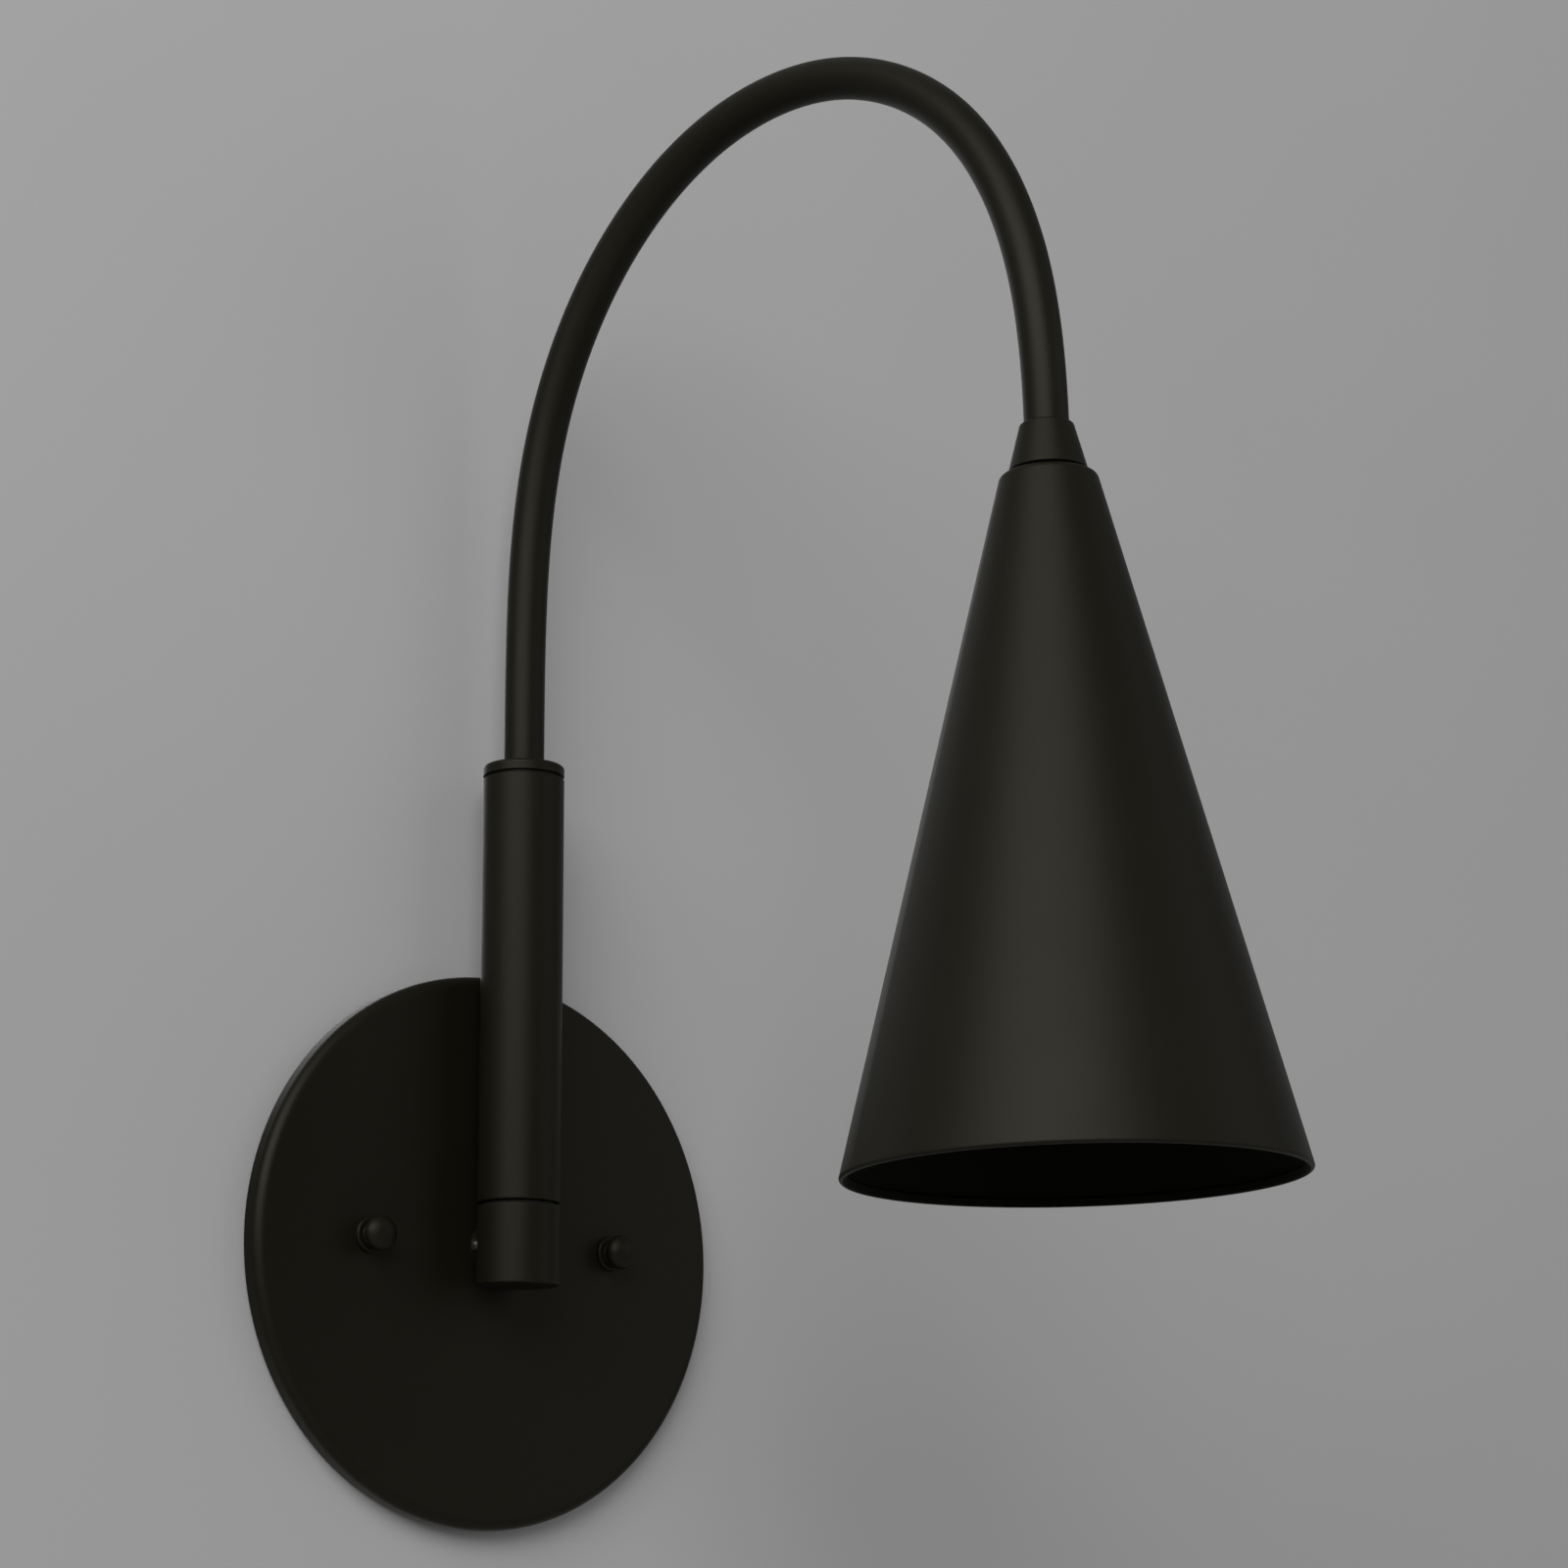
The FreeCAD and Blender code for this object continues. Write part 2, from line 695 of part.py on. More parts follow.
def make_neck_section(number):
    """One bent length of neck. Its far end is a hollow dome, and the next one's near end is a
    cup round that dome, so that each pair turns about the centre of the dome."""
    turn = section_turn(number)
    bend = section_bend_radius(number)
    arc_place = Placement(Vector(bend.number, 0, 0),
                          Rotation(Vector(-1, 0, 0), Vector(0, 0, 1), Vector(0, 1, 0), "XYZ"))
    solid = without(torus_arc(bend, neck_radius, turn, arc_place),
                    torus_arc(bend, neck_bore_radius, turn, arc_place))
    half_turn = Rotation(Vector(0, 1, 0), turn.number)
    centre = Vector(bend.number, 0, 0)
    far_end = Placement(centre - half_turn.multVec(centre), half_turn)
    if number == 1:
        tail = plug_top - ferrule_bottom
        solid = joined(solid, tube(neck_radius, neck_bore_radius, tail, at(z=ZERO - tail)))
    else:
        solid = without(solid, ball(neck_radius + size("neck_joint_gap")))
    if number == NECK_SECTIONS:
        tail = size("cap_entry_drop") + size("shade_cap_height") - size("upper_ferrule_height")
        tail = tail + size("upper_ferrule_grip")
        solid = joined(solid, tube(neck_radius, neck_bore_radius, tail, far_end))
    else:
        dome = without(ball(neck_radius, far_end, half=True),
                       cylinder(neck_bore_radius, neck_radius, far_end))
        solid = joined(solid, dome)
    keep(solid, "neck_section_%d" % number, NECK[number - 1])


# ---- shade and lamp holder: Z runs up the shade's axis from the neck's end -------------------

cap_top = ZERO - size("cap_entry_drop")
cap_foot = cap_top - size("shade_cap_height")
shade_top = cap_foot - size("shade_washer_thickness")
shade_rim = shade_top - size("shade_height")
shade_inside = shade_top - size("shade_wall")
shade_nut_bottom = shade_inside - size("shade_nut_height")
holder_top = shade_inside - size("holder_drop")
holder_cap_foot = holder_top - size("holder_cap_height")
holder_foot = holder_cap_foot - size("holder_body_length")
holder_radius = size("holder_diameter") / 2
holder_inside = holder_radius - size("holder_wall")
grip_top = cap_foot + size("upper_ferrule_height")
grip_seat = grip_top - size("upper_ferrule_grip")
shell_radius = size("screw_shell_diameter") / 2
socket_floor = holder_cap_foot - size("holder_floor")
bulb_base_top = holder_foot + size("bulb_base_length")


def make_shade_cap():
    wall = size("shade_cap_wall")
    top = size("shade_cap_top_diameter") / 2
    foot = size("shade_cap_foot_diameter") / 2
    entry = neck_radius + size("neck_fit")
    body = turned([(entry, cap_top), (entry, cap_top - wall), (foot - wall, cap_foot),
                   (foot, cap_foot), (top, cap_top)])
    round_rims(body, size("shade_cap_edge_radius"), [(top, cap_top)])
    keep(body, "shade_cap", HEAD)
    ferrule = size("upper_ferrule_diameter") / 2
    keep(turned([(neck_radius, grip_top), (neck_radius, grip_seat), (nipple_radius, grip_seat),
                 (nipple_radius, cap_foot), (ferrule, cap_foot), (ferrule, grip_top)]),
         "neck_upper_ferrule", HEAD)
    keep(ring(size("shade_washer_diameter") / 2, nipple_radius, shade_top, cap_foot),
         "shade_washer", HEAD)


def make_shade():
    wall = size("shade_wall")
    top = size("shade_top_diameter") / 2
    rim = size("shade_rim_diameter") / 2
    bead = size("shade_bead")
    bead_top = shade_rim + size("shade_bead_height")
    slope = (rim - top) / size("shade_height")
    bead_outside = rim - slope * size("shade_bead_height")
    top_inside = top + slope * wall - wall
    body = turned([(nipple_radius, shade_top), (top, shade_top), (bead_outside, bead_top),
                   (rim, shade_rim), (rim - wall - bead, shade_rim),
                   (bead_outside - wall - bead, bead_top), (bead_outside - wall, bead_top + bead),
                   (top_inside, shade_inside), (nipple_radius, shade_inside)])
    round_rims(body, size("shade_shoulder_radius"), [(top, shade_top)])
    keep(body, "shade", HEAD)


def make_lamp_holder():
    neck = size("holder_neck_diameter") / 2
    taper = holder_top - size("holder_cap_taper")
    roof = holder_top - size("holder_cap_roof")
    keep(turned([(nipple_radius, holder_top), (neck, holder_top), (holder_radius, taper),
                 (holder_radius, holder_cap_foot), (holder_inside, holder_cap_foot),
                 (holder_inside, taper), (nipple_radius, roof)]), "holder_cap", HEAD)
    keep(ring(nipple_radius, size("nipple_bore") / 2, roof, grip_seat), "shade_nipple", HEAD)
    nut = without(hexagon(size("shade_nut_across_flats"), size("shade_nut_height"),
                          at(z=shade_nut_bottom)),
                  cylinder(nipple_radius, size("shade_height"), at(z=shade_rim)))
    keep(nut, "shade_lock_nut", HEAD)
    cable_hole = size("cable_diameter") / 2 + size("cable_hole_clearance")
    keep(turned([(cable_hole, holder_cap_foot), (holder_radius, holder_cap_foot),
                 (holder_radius, holder_foot), (shell_radius, holder_foot),
                 (shell_radius, socket_floor), (cable_hole, socket_floor)]), "lamp_holder", HEAD)
    shell_inside = shell_radius - size("screw_shell_wall")
    keep(ring(shell_radius, shell_inside, holder_foot, socket_floor), "screw_shell", HEAD)


def make_centre_contact():
    """A leaf with its foot on the socket's floor and its bent end on the bulb's tip."""
    thickness = size("contact_thickness")
    pad_low = bulb_base_top + size("bulb_tip_height")
    pad_end = size("contact_width") / 2
    foot_start = ZERO - size("contact_reach")
    foot_end = foot_start + size("contact_foot")
    leaf = extruded([(foot_start, socket_floor), (foot_end, socket_floor),
                     (ZERO - pad_end, pad_low + thickness), (pad_end, pad_low + thickness),
                     (pad_end, pad_low), (ZERO - pad_end - thickness, pad_low),
                     (foot_end - thickness, socket_floor - thickness),
                     (foot_start, socket_floor - thickness)], size("contact_width"))
    upright = Placement(Vector(0, pad_end.number, 0), Rotation(Vector(1, 0, 0), 90))
    keep(leaf, "centre_contact", HEAD.multiply(upright))


def make_bulb():
    base_radius = size("bulb_base_diameter") / 2
    keep(turned([(ZERO, holder_foot), (base_radius, holder_foot), (base_radius, bulb_base_top),
                 (size("bulb_tip_diameter") / 2, bulb_base_top),
                 (size("bulb_tip_diameter") / 2, bulb_base_top + size("bulb_tip_height")),
                 (ZERO, bulb_base_top + size("bulb_tip_height"))]), "bulb_base", HEAD)
    glass = size("bulb_glass")
    half_length = (size("bulb_length") - size("bulb_neck_length")) / 2
    centre = holder_foot - size("bulb_neck_length") - half_length
    outer = ellipsoid(half_length, size("bulb_diameter") / 2, at(z=centre))
    inner = ellipsoid(half_length - glass, size("bulb_diameter") / 2 - glass, at(z=centre))
    neck_length = size("bulb_neck_length") * 2
    neck_place = at(z=holder_foot - neck_length)
    outer_neck = cone(base_radius + size("bulb_neck_length") / 2, base_radius, neck_length, neck_place)
    inner_neck = cone(base_radius + size("bulb_neck_length") / 2 - glass, base_radius - glass,
                      neck_length, neck_place)
    keep(without(joined(outer, outer_neck), inner, inner_neck), "bulb_envelope", HEAD)


# ---- cable held inside ---------------------------------------------------------------------

def make_lamp_cable():
    """The cable's centre line: in from the wall, up the stem, round the neck, to the holder."""
    bend = size("cable_bend_radius").number
    axis = STEM.Base
    start = Vector(0, -nipple_inner_end.number, 0)
    turn_start = axis + Vector(0, bend, 0)
    turn_end = axis + UP * bend
    middle = turn_start + Vector(0, -bend * math.sin(math.pi / 4), bend * (1 - math.cos(math.pi / 4)))
    edges = [Part.LineSegment(start, turn_start).toShape(),
             Part.Arc(turn_start, middle, turn_end).toShape(),
             Part.LineSegment(turn_end, NECK[0].Base).toShape()]
    for number in range(1, NECK_SECTIONS + 1):
        radius = section_bend_radius(number).number
        half = math.radians(section_turn(number).number) / 2
        halfway = Vector(radius * (1 - math.cos(half)), 0, radius * math.sin(half))
        middle = NECK[number - 1].multVec(halfway)
        edges.append(Part.Arc(NECK[number - 1].Base, middle, NECK[number].Base).toShape())
    end = HEAD.multVec(Vector(0, 0, holder_cap_foot.number - size("holder_floor").number / 2))
    edges.append(Part.LineSegment(HEAD.Base, end).toShape())
    path = Part.Wire(edges)
    profile = Part.Wire([Part.Circle(start, Vector(0, 1, 0), size("cable_diameter").number / 2).toShape()])
    cable = document.addObject("Part::Feature", "Cable")
    cable.Shape = path.makePipeShell([profile], True, False)
    section = math.pi * (size("cable_diameter").number / 2) ** 2
    print("cable length %.1f mm, volume over section times length %.4f"
          % (path.Length, cable.Shape.Volume / (section * path.Length)))
    keep(cable, "lamp_cable")


make_backplate()
make_crossbar()
make_plate_fasteners()
make_earth_screw()
make_nipple()
make_star_washer()
make_collar()
make_set_screw()
make_swivel()
make_stem()
for section in range(1, NECK_SECTIONS + 1):
    make_neck_section(section)
make_shade_cap()
make_shade()
make_lamp_holder()
make_centre_contact()
make_bulb()
make_lamp_cable()
document.recompute()

for thing in document.Objects:
    if "Invalid" in thing.State or "Error" in thing.State:
        raise RuntimeError("failed: " + thing.Name + " " + thing.Label)
os.makedirs("parts", exist_ok=True)
for piece in pieces:
    if piece.Shape.isNull() or not piece.Shape.isValid() or not piece.Shape.Solids:
        raise RuntimeError("bad shape: " + piece.Label)
    piece.Shape.exportStep("parts/" + piece.Label + ".step")
print(len(pieces), "nodes,", sum(len(piece.Shape.Solids) for piece in pieces), "solids")
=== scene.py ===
"""Gooseneck wall sconce: its finishes, smooth neck, lamp, cable and small hardware, built round
the fixed frame. Metres. The wall lies in the plane y = 0 and the light stands out towards -Y."""

import json
import math

import bmesh
import bpy
import numpy as np
from bpy.props import FloatProperty, FloatVectorProperty, IntProperty, PointerProperty
from mathutils import Matrix, Vector


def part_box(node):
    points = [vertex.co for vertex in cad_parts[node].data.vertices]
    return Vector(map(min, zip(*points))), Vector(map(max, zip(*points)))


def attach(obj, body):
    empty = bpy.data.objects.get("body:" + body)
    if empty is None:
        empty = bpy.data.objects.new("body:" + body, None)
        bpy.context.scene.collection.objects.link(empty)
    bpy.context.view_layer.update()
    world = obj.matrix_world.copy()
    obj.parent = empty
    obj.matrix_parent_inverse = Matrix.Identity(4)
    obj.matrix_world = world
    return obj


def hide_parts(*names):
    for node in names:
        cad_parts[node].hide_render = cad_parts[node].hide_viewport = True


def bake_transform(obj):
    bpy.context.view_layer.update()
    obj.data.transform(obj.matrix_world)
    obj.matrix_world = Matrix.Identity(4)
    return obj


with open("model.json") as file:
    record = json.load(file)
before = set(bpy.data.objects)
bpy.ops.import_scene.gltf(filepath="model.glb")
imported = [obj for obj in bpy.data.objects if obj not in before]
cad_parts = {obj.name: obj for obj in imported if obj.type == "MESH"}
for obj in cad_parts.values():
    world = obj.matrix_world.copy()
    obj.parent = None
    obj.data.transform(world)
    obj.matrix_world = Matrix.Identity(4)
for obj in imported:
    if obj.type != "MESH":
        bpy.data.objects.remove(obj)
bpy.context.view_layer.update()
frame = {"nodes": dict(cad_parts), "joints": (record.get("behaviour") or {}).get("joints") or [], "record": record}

bl_info = {
    "name": "Gooseneck Wall Sconce",
    "version": (1, 1, 0),
    "blender": (4, 5, 0),
    "location": "View3D > Sidebar > Sconce",
    "description": "Dresses the wall sconce's frame with its finishes and fine pieces",
    "category": "Object",
}

MM = 0.001
TINY = 1e-7


# ---- places and sizes read from the frame --------------------------------------------------

RECORD = frame["record"]
BODY_OF = {node: body for body, nodes in RECORD["behaviour"]["bodies"].items() for node in nodes}
FIXED = BODY_OF["backplate"]
JOINTS = {joint["name"]: joint for joint in frame["joints"]}
NECK_JOINTS = [joint for joint in frame["joints"] if joint["name"].startswith("neck_")]


def centre_of(node):
    """The middle of a node's box, which is on its axis for a round piece."""
    low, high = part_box(node)
    return (low + high) / 2


def frame_at(origin, axis):
    """A frame whose Z points along the axis."""
    turn = axis.to_track_quat("Z", "Y").to_matrix().to_4x4()
    return Matrix.Translation(origin) @ turn


OUT = Vector((0, -1, 0))
WALL = frame_at(Vector((0, 0, 0)), OUT)
STEM_AXIS = Vector(JOINTS["stem_swivel"]["pos_m"])
STEM = Matrix.Translation(Vector((STEM_AXIS.x, STEM_AXIS.y, 0)))
HEAD_CENTRE = centre_of("shade_washer")
HEAD_AXIS = (HEAD_CENTRE - centre_of("screw_shell")).normalized()
HEAD = frame_at(HEAD_CENTRE, HEAD_AXIS)
SCREW_AXIS = (centre_of("collar_set_screw") - STEM_AXIS) * Vector((1, 1, 0))
SCREW = frame_at(STEM @ Vector((0, 0, centre_of("collar_set_screw").z)), SCREW_AXIS.normalized())


def span(node, place):
    """The lowest and highest reach of a node along a frame's Z, and its greatest radius."""
    inverse = place.inverted()
    points = [inverse @ vertex.co for vertex in frame["nodes"][node].data.vertices]
    heights = [point.z for point in points]
    return min(heights), max(heights), max(point.xy.length for point in points)


def on_stem_axis(height):
    return STEM @ Vector((0, 0, height))


# ---- sizes and colours that a user would change --------------------------------------------

def length(label, text, default):
    return FloatProperty(name=label, description=text, default=default * MM, unit="LENGTH",
                         precision=5)


def colour(label, text, default):
    return FloatVectorProperty(name=label, description=text, default=default, subtype="COLOR",
                               size=3, min=0.0, max=1.0)


class SconceSizes(bpy.types.PropertyGroup):
    """Sizes of the modelled pieces. The rest comes from the frame"""
    round_segments: IntProperty(name="Segments", description="Faces round a large turned piece",
                                default=160, min=24)
    small_segments: IntProperty(name="Small segments", description="Faces round a small piece",
                                default=72, min=24)
    plate_wall: length("Plate wall", "Thickness of the pressed plate", 1.2)
    plate_edge: length("Plate edge", "Rounding of the plate's front edge", 2.4)
    stud_diameter: length("Stud diameter", "Mounting studs", 4.0)
    stud_pitch: length("Stud pitch", "Thread of the mounting studs", 0.7)
    stud_nut_flats: length("Stud nut", "Across the flats of the stud's lock nut", 7.0)
    cap_flange: length("Cap nut flange", "Diameter of the cap nut's flange", 8.2)
    cap_flange_height: length("Cap flange height", "Thickness of the cap nut's flange", 1.2)
    cap_waist: length("Cap nut waist", "Diameter between flange and head", 5.0)
    cap_head: length("Cap nut head", "Diameter of the rounded head", 8.0)
    cap_head_height: length("Cap head height", "Thickness of the rounded head", 5.0)
    cap_head_reach: length("Cap head reach", "Top of the rounded head above the plate", 6.8)
    pipe_diameter: length("Pipe diameter", "Outside of the hollow threaded tubes", 10.0)
    pipe_bore: length("Pipe bore", "Inside of the hollow threaded tubes", 7.4)
    pipe_pitch: length("Pipe pitch", "Thread of the hollow tubes", 1.0)
    pipe_nut_flats: length("Pipe nut", "Across the flats of the nuts on the tubes", 14.0)
    pivot_nut_flats: length("Pivot nut", "Across the flats of the swivel's nut", 13.0)
    earth_slot: length("Earth screw slot", "Width of the driver slot", 1.1)
    earth_shank: length("Earth screw shank", "Diameter of the earth screw's thread", 4.0)
    collar_cavity: length("Collar cavity", "Inside of the collar", 14.0)
    collar_floor: length("Collar floor", "Thickness of the collar's closed end", 2.6)
    collar_roof: length("Collar roof", "Thickness of the collar's upper end", 4.4)
    collar_boss: length("Collar boss", "Diameter of the boss that seats on the plate", 13.0)
    socket_flats: length("Set screw socket", "Across the flats of the driver socket", 1.5)
    edge_round: length("Edge rounding", "Rounding of the collar and sleeve edges", 0.4)
    sleeve_wall: length("Sleeve wall", "Thickness of the stem's sleeve", 1.5)
    plug_groove: length("Plug groove", "Height of the groove under the plug's disc", 0.75)
    plug_groove_depth: length("Plug groove depth", "Depth of that groove", 0.8)
    plug_edge: length("Plug edge", "Rounding of the plug's top", 0.9)
    fit: length("Fit", "Gap round a piece that passes through another", 0.05)
    neck_diameter: length("Neck diameter", "Outside of the flexible neck", 9.5)
    neck_bore: length("Neck bore", "Inside of the flexible neck", 6.9)
    neck_step: length("Neck step", "Distance between the rings of the neck's mesh", 0.8)
    ferrule_wall: length("Ferrule wall", "Thickness of the neck's lower ferrule", 1.4)
    grip_seat: length("Grip seat", "Depth of the neck's seat in its upper ferrule", 1.8)
    cap_top: length("Shade cap top", "Diameter of the shade cap's top", 11.4)
    cap_wall: length("Shade cap wall", "Thickness of the shade cap", 0.75)
    cap_edge: length("Shade cap edge", "Rounding of the shade cap's top", 0.6)
    shade_top: length("Shade top", "Diameter of the shade's top", 20.4)
    shade_wall: length("Shade wall", "Thickness of the shade", 1.0)
    shade_shoulder: length("Shade shoulder", "Rounding of the shade's top", 1.6)
    shade_bead: length("Shade bead", "How far the rolled rim stands in from the wall", 0.5)
    shade_bead_height: length("Shade bead height", "Height of the rolled rim", 1.6)
    holder_neck: length("Holder neck", "Diameter at the top of the holder's cap", 14.0)
    holder_taper: length("Holder taper", "Height of the holder cap's cone", 7.0)
    holder_wall: length("Holder wall", "Wall of the holder's cap", 2.2)
    holder_floor: length("Holder floor", "Thickness of the socket's floor", 3.0)
    grip_rib: length("Grip rib", "Depth of the ribs on the holder", 0.45)
    lamp_pitch: length("Lamp pitch", "Thread of the candelabra base", 2.54)
    lamp_thread: length("Lamp thread", "Depth of the rolled candelabra thread", 0.34)
    bulb_tip: length("Bulb tip", "Diameter of the bulb's end contact", 4.0)
    bulb_glass: length("Bulb glass", "Thickness of the glass", 0.9)
    bulb_flare: length("Bulb flare", "Length over which the glass widens from its neck", 9.0)
    cable_diameter: length("Cable diameter", "Outside of the lamp cable's sheath", 4.0)
    cable_bend: length("Cable bend", "Radius of the cable's turn into the stem", 8.0)
    core_diameter: length("Core diameter", "Outside of one insulated core", 1.5)
    conductor_diameter: length("Conductor diameter", "Copper inside one core", 0.8)


class SconceColours(bpy.types.PropertyGroup):
    """Colours of the finishes"""
    coat: colour("Coat", "Matt warm black powder coat", (0.0036, 0.0033, 0.0017))
    coat_light: colour("Coat light", "Paler flecks of the coat", (0.0050, 0.0046, 0.0027))
    # The lighter tone along the coat's edges is partly wear and partly a painted highlight.
    coat_wear_and_highlight: colour("Coat worn", "Thin coat along the edges", (0.0130, 0.0120, 0.0085))
    zinc: colour("Zinc", "Zinc plated steel", (0.58, 0.58, 0.55))
    zinc_light: colour("Zinc light", "Bright crystals of the plating", (0.72, 0.72, 0.68))
    screw: colour("Screw steel", "Dull steel of the set screw", (0.13, 0.13, 0.12))
    earth: colour("Earth green", "Green dyed earth screw", (0.035, 0.25, 0.075))
    earth_light: colour("Earth green light", "Paler dye on the crowns", (0.09, 0.36, 0.14))
    fibre: colour("Fibre", "Black fibre washers", (0.008, 0.008, 0.007))
    fibre_light: colour("Fibre light", "Paler fibres", (0.018, 0.017, 0.016))
    brass: colour("Brass", "Turned brass", (0.68, 0.50, 0.21))
    brass_dull: colour("Brass dull", "Tarnish on the brass", (0.40, 0.27, 0.10))
    moulding: colour("Moulding", "Black moulded lamp holder", (0.010, 0.010, 0.010))
    moulding_light: colour("Moulding light", "Flow marks of the moulding", (0.020, 0.019, 0.018))
    nickel: colour("Nickel", "Plated bulb base", (0.66, 0.64, 0.60))
    nickel_dull: colour("Nickel dull", "Dull patches of the plating", (0.50, 0.48, 0.44))
    vitrite: colour("Insulator", "Black glass round the bulb's end contact", (0.012, 0.011, 0.016))
    opal: colour("Opal", "Opal glass of the bulb", (0.86, 0.86, 0.83))
    opal_shade: colour("Opal shade", "Thicker opal glass", (0.78, 0.78, 0.75))
    sheath: colour("Sheath", "Black cable sheath", (0.012, 0.012, 0.012))
    core_brown: colour("Brown core", "Insulation of the live core", (0.16, 0.06, 0.025))
    core_blue: colour("Blue core", "Insulation of the neutral core", (0.02, 0.11, 0.42))
    copper: colour("Copper", "Copper conductor", (0.72, 0.33, 0.19))
    wall: colour("Wall", "Painted wall behind the light", (0.35, 0.35, 0.35))
    floor: colour("Floor", "Plain pale floor", (0.62, 0.61, 0.60))


class SconceStage(bpy.types.PropertyGroup):
    """Camera, lamps and backdrop"""
    camera_place: FloatVectorProperty(
        name="Camera", description="Place of the camera", size=3, subtype="TRANSLATION",
        default=(-477.47 * MM, -673.44 * MM, -87.08 * MM))
    camera_yaw: FloatProperty(name="Yaw", description="Turn of the view from +Y towards +X",
                              default=0.703, subtype="ANGLE")
    camera_pitch: FloatProperty(name="Pitch", description="Upward tilt of the view",
                                default=0.236, subtype="ANGLE")
    camera_roll: FloatProperty(name="Roll", description="Turn about the line of sight",
                               default=-0.006, subtype="ANGLE")
    lens: FloatProperty(name="Lens", description="Focal length for a 36 mm wide picture, in mm",
                        default=81.41)
    wall_gap: length("Wall gap", "Gap between the plate's rim and the wall", 0.4)
    wall_width: length("Wall width", "Side of the square wall", 5000.0)
    floor_drop: length("Floor drop", "Floor below the plate's centre", 750.0)
    floor_width: length("Floor width", "Side of the square floor", 60000.0)
    world_light: FloatProperty(name="World light", description="Even light from all round",
                               default=0.28, min=0.0, max=1.0)
    background: FloatProperty(name="Background", description="Grey that shows past the wall",
                              default=0.15, min=0.0, max=1.0)


def sizes():
    return bpy.context.scene.sconce_sizes


def colours():
    return bpy.context.scene.sconce_colours


# ---- outlines: closed loops of (radius, height) that a turned piece is made from -----------------

BAND = 0.08 * MM
ARC_STEP = math.radians(12)
CHAMFER_SHARE = 0.6
FACE_SHARE = 0.97

# Rows of faces to each turn of a thread, and its depth and its end chamfers as shares of the pitch.
THREAD_ROWS = 12
THREAD_DEPTH = 0.55
THREAD_LEAD = 0.6


def rounded(corners):
    """The outline with each (radius, height, rounding) corner rounded. A narrow band is left
    beside each rounding, so that the plain faces next to it shade as flat ones do."""
    outline = []
    for index, (radius, height, rounding) in enumerate(corners):
        here = Vector((radius, height))
        if rounding < TINY:
            outline.append(here)
            continue
        before = Vector(corners[index - 1][:2]) - here
        after = Vector(corners[(index + 1) % len(corners)][:2]) - here
        half = before.angle(after) / 2
        reach = rounding / math.tan(half)
        middle = here + (before.normalized() + after.normalized()).normalized() \
            * rounding / math.sin(half)
        spoke = here + before.normalized() * reach - middle
        last = here + after.normalized() * reach - middle
        turn = math.atan2(spoke.cross(last), spoke.dot(last))
        steps = max(3, math.ceil(abs(turn) / ARC_STEP))
        if before.length > reach + 3 * BAND:
            outline.append(middle + spoke + before.normalized() * BAND)
        for step in range(steps + 1):
            outline.append(middle + Matrix.Rotation(turn * step / steps, 2) @ spoke)
        if after.length > reach + 3 * BAND:
            outline.append(middle + last + after.normalized() * BAND)
    return outline


def ring_outline(inner, outer, low, high, rounding):
    return rounded([(inner, low, 0), (outer, low, rounding), (outer, high, rounding),
                    (inner, high, 0)])


def nut_outline(bore, flat, low, high):
    """A nut's outline: the cone of its chamfers runs out at the corners of the hexagon."""
    corner = flat / math.cos(math.pi / 6)
    chamfer, face, lead = (corner - flat) * CHAMFER_SHARE, flat * FACE_SHARE, 0.3 * MM
    rise = [(face + (corner - face) * part, low + chamfer * part)
            for part in np.linspace(0, 1, 5)]
    fall = [(radius, high - (height - low)) for radius, height in reversed(rise)]
    return ([(bore, low + lead), (bore + lead, low)] + rise + fall
            + [(bore + lead, high), (bore, high - lead)])


def thread_outline(radius, low, high, pitch, bore):
    """Even rows for a thread, chamfered at both ends, round a bore or solid to the axis."""
    lead = pitch * THREAD_LEAD
    count = max(2, round((high - low - 2 * lead) / pitch * THREAD_ROWS))
    rows = [(radius, height) for height in np.linspace(low + lead, high - lead, count + 1)]
    return [(bore, low), (radius - lead, low)] + rows + [(radius - lead, high), (bore, high)]


def thread_rows(low, high, pitch):
    """The heights of even rows for a rolled thread."""
    return np.linspace(low, high, round((high - low) / pitch * THREAD_ROWS))


# ---- shapes: how a turned piece departs from round, by (radius, height, angle) ------------------

def hexagon(flat, within=math.inf):
    """Flats at half the width across flats, on what lies within a radius."""
    def shape(radius, height, angle):
        if radius > within:
            return radius
        turn = (angle + math.pi / 6) % (math.pi / 3) - math.pi / 6
        return min(radius, flat / math.cos(turn))
    return shape


def thread(crest, pitch, depth):
    """A right-hand thread cut into a crest radius. It leaves a smaller bore as it is."""
    def shape(radius, height, angle):
        phase = 2 * math.pi * height / pitch - angle
        return min(radius, crest - depth * (0.5 - 0.5 * math.cos(phase)))
    return shape


def rolled_thread(pitch, depth, above, low, high):
    """A thread rolled into thin sheet, so both of its faces follow the wave."""
    def shape(radius, height, angle):
        if radius < above:
            return radius
        fade = min(1.0, max(0.0, min(height - low, high - height) / pitch))
        phase = 2 * math.pi * height / pitch - angle
        return radius - depth * fade * (0.5 - 0.5 * math.cos(phase))
    return shape


def ribs(count, depth, above, low, high):
    """Grip ribs along a moulding between two heights."""
    def shape(radius, height, angle):
        if radius < above or not low - TINY <= height <= high + TINY:
            return radius
        return radius - depth * abs(math.sin(count * angle / 2)) ** 0.7
    return shape


# ---- mesh builders -------------------------------------------------------------------------------

# The angles, in degrees, over which an edge is sharp: on plain pieces and on threads.
CREASE = 32.0
THREAD_CREASE = 60.0


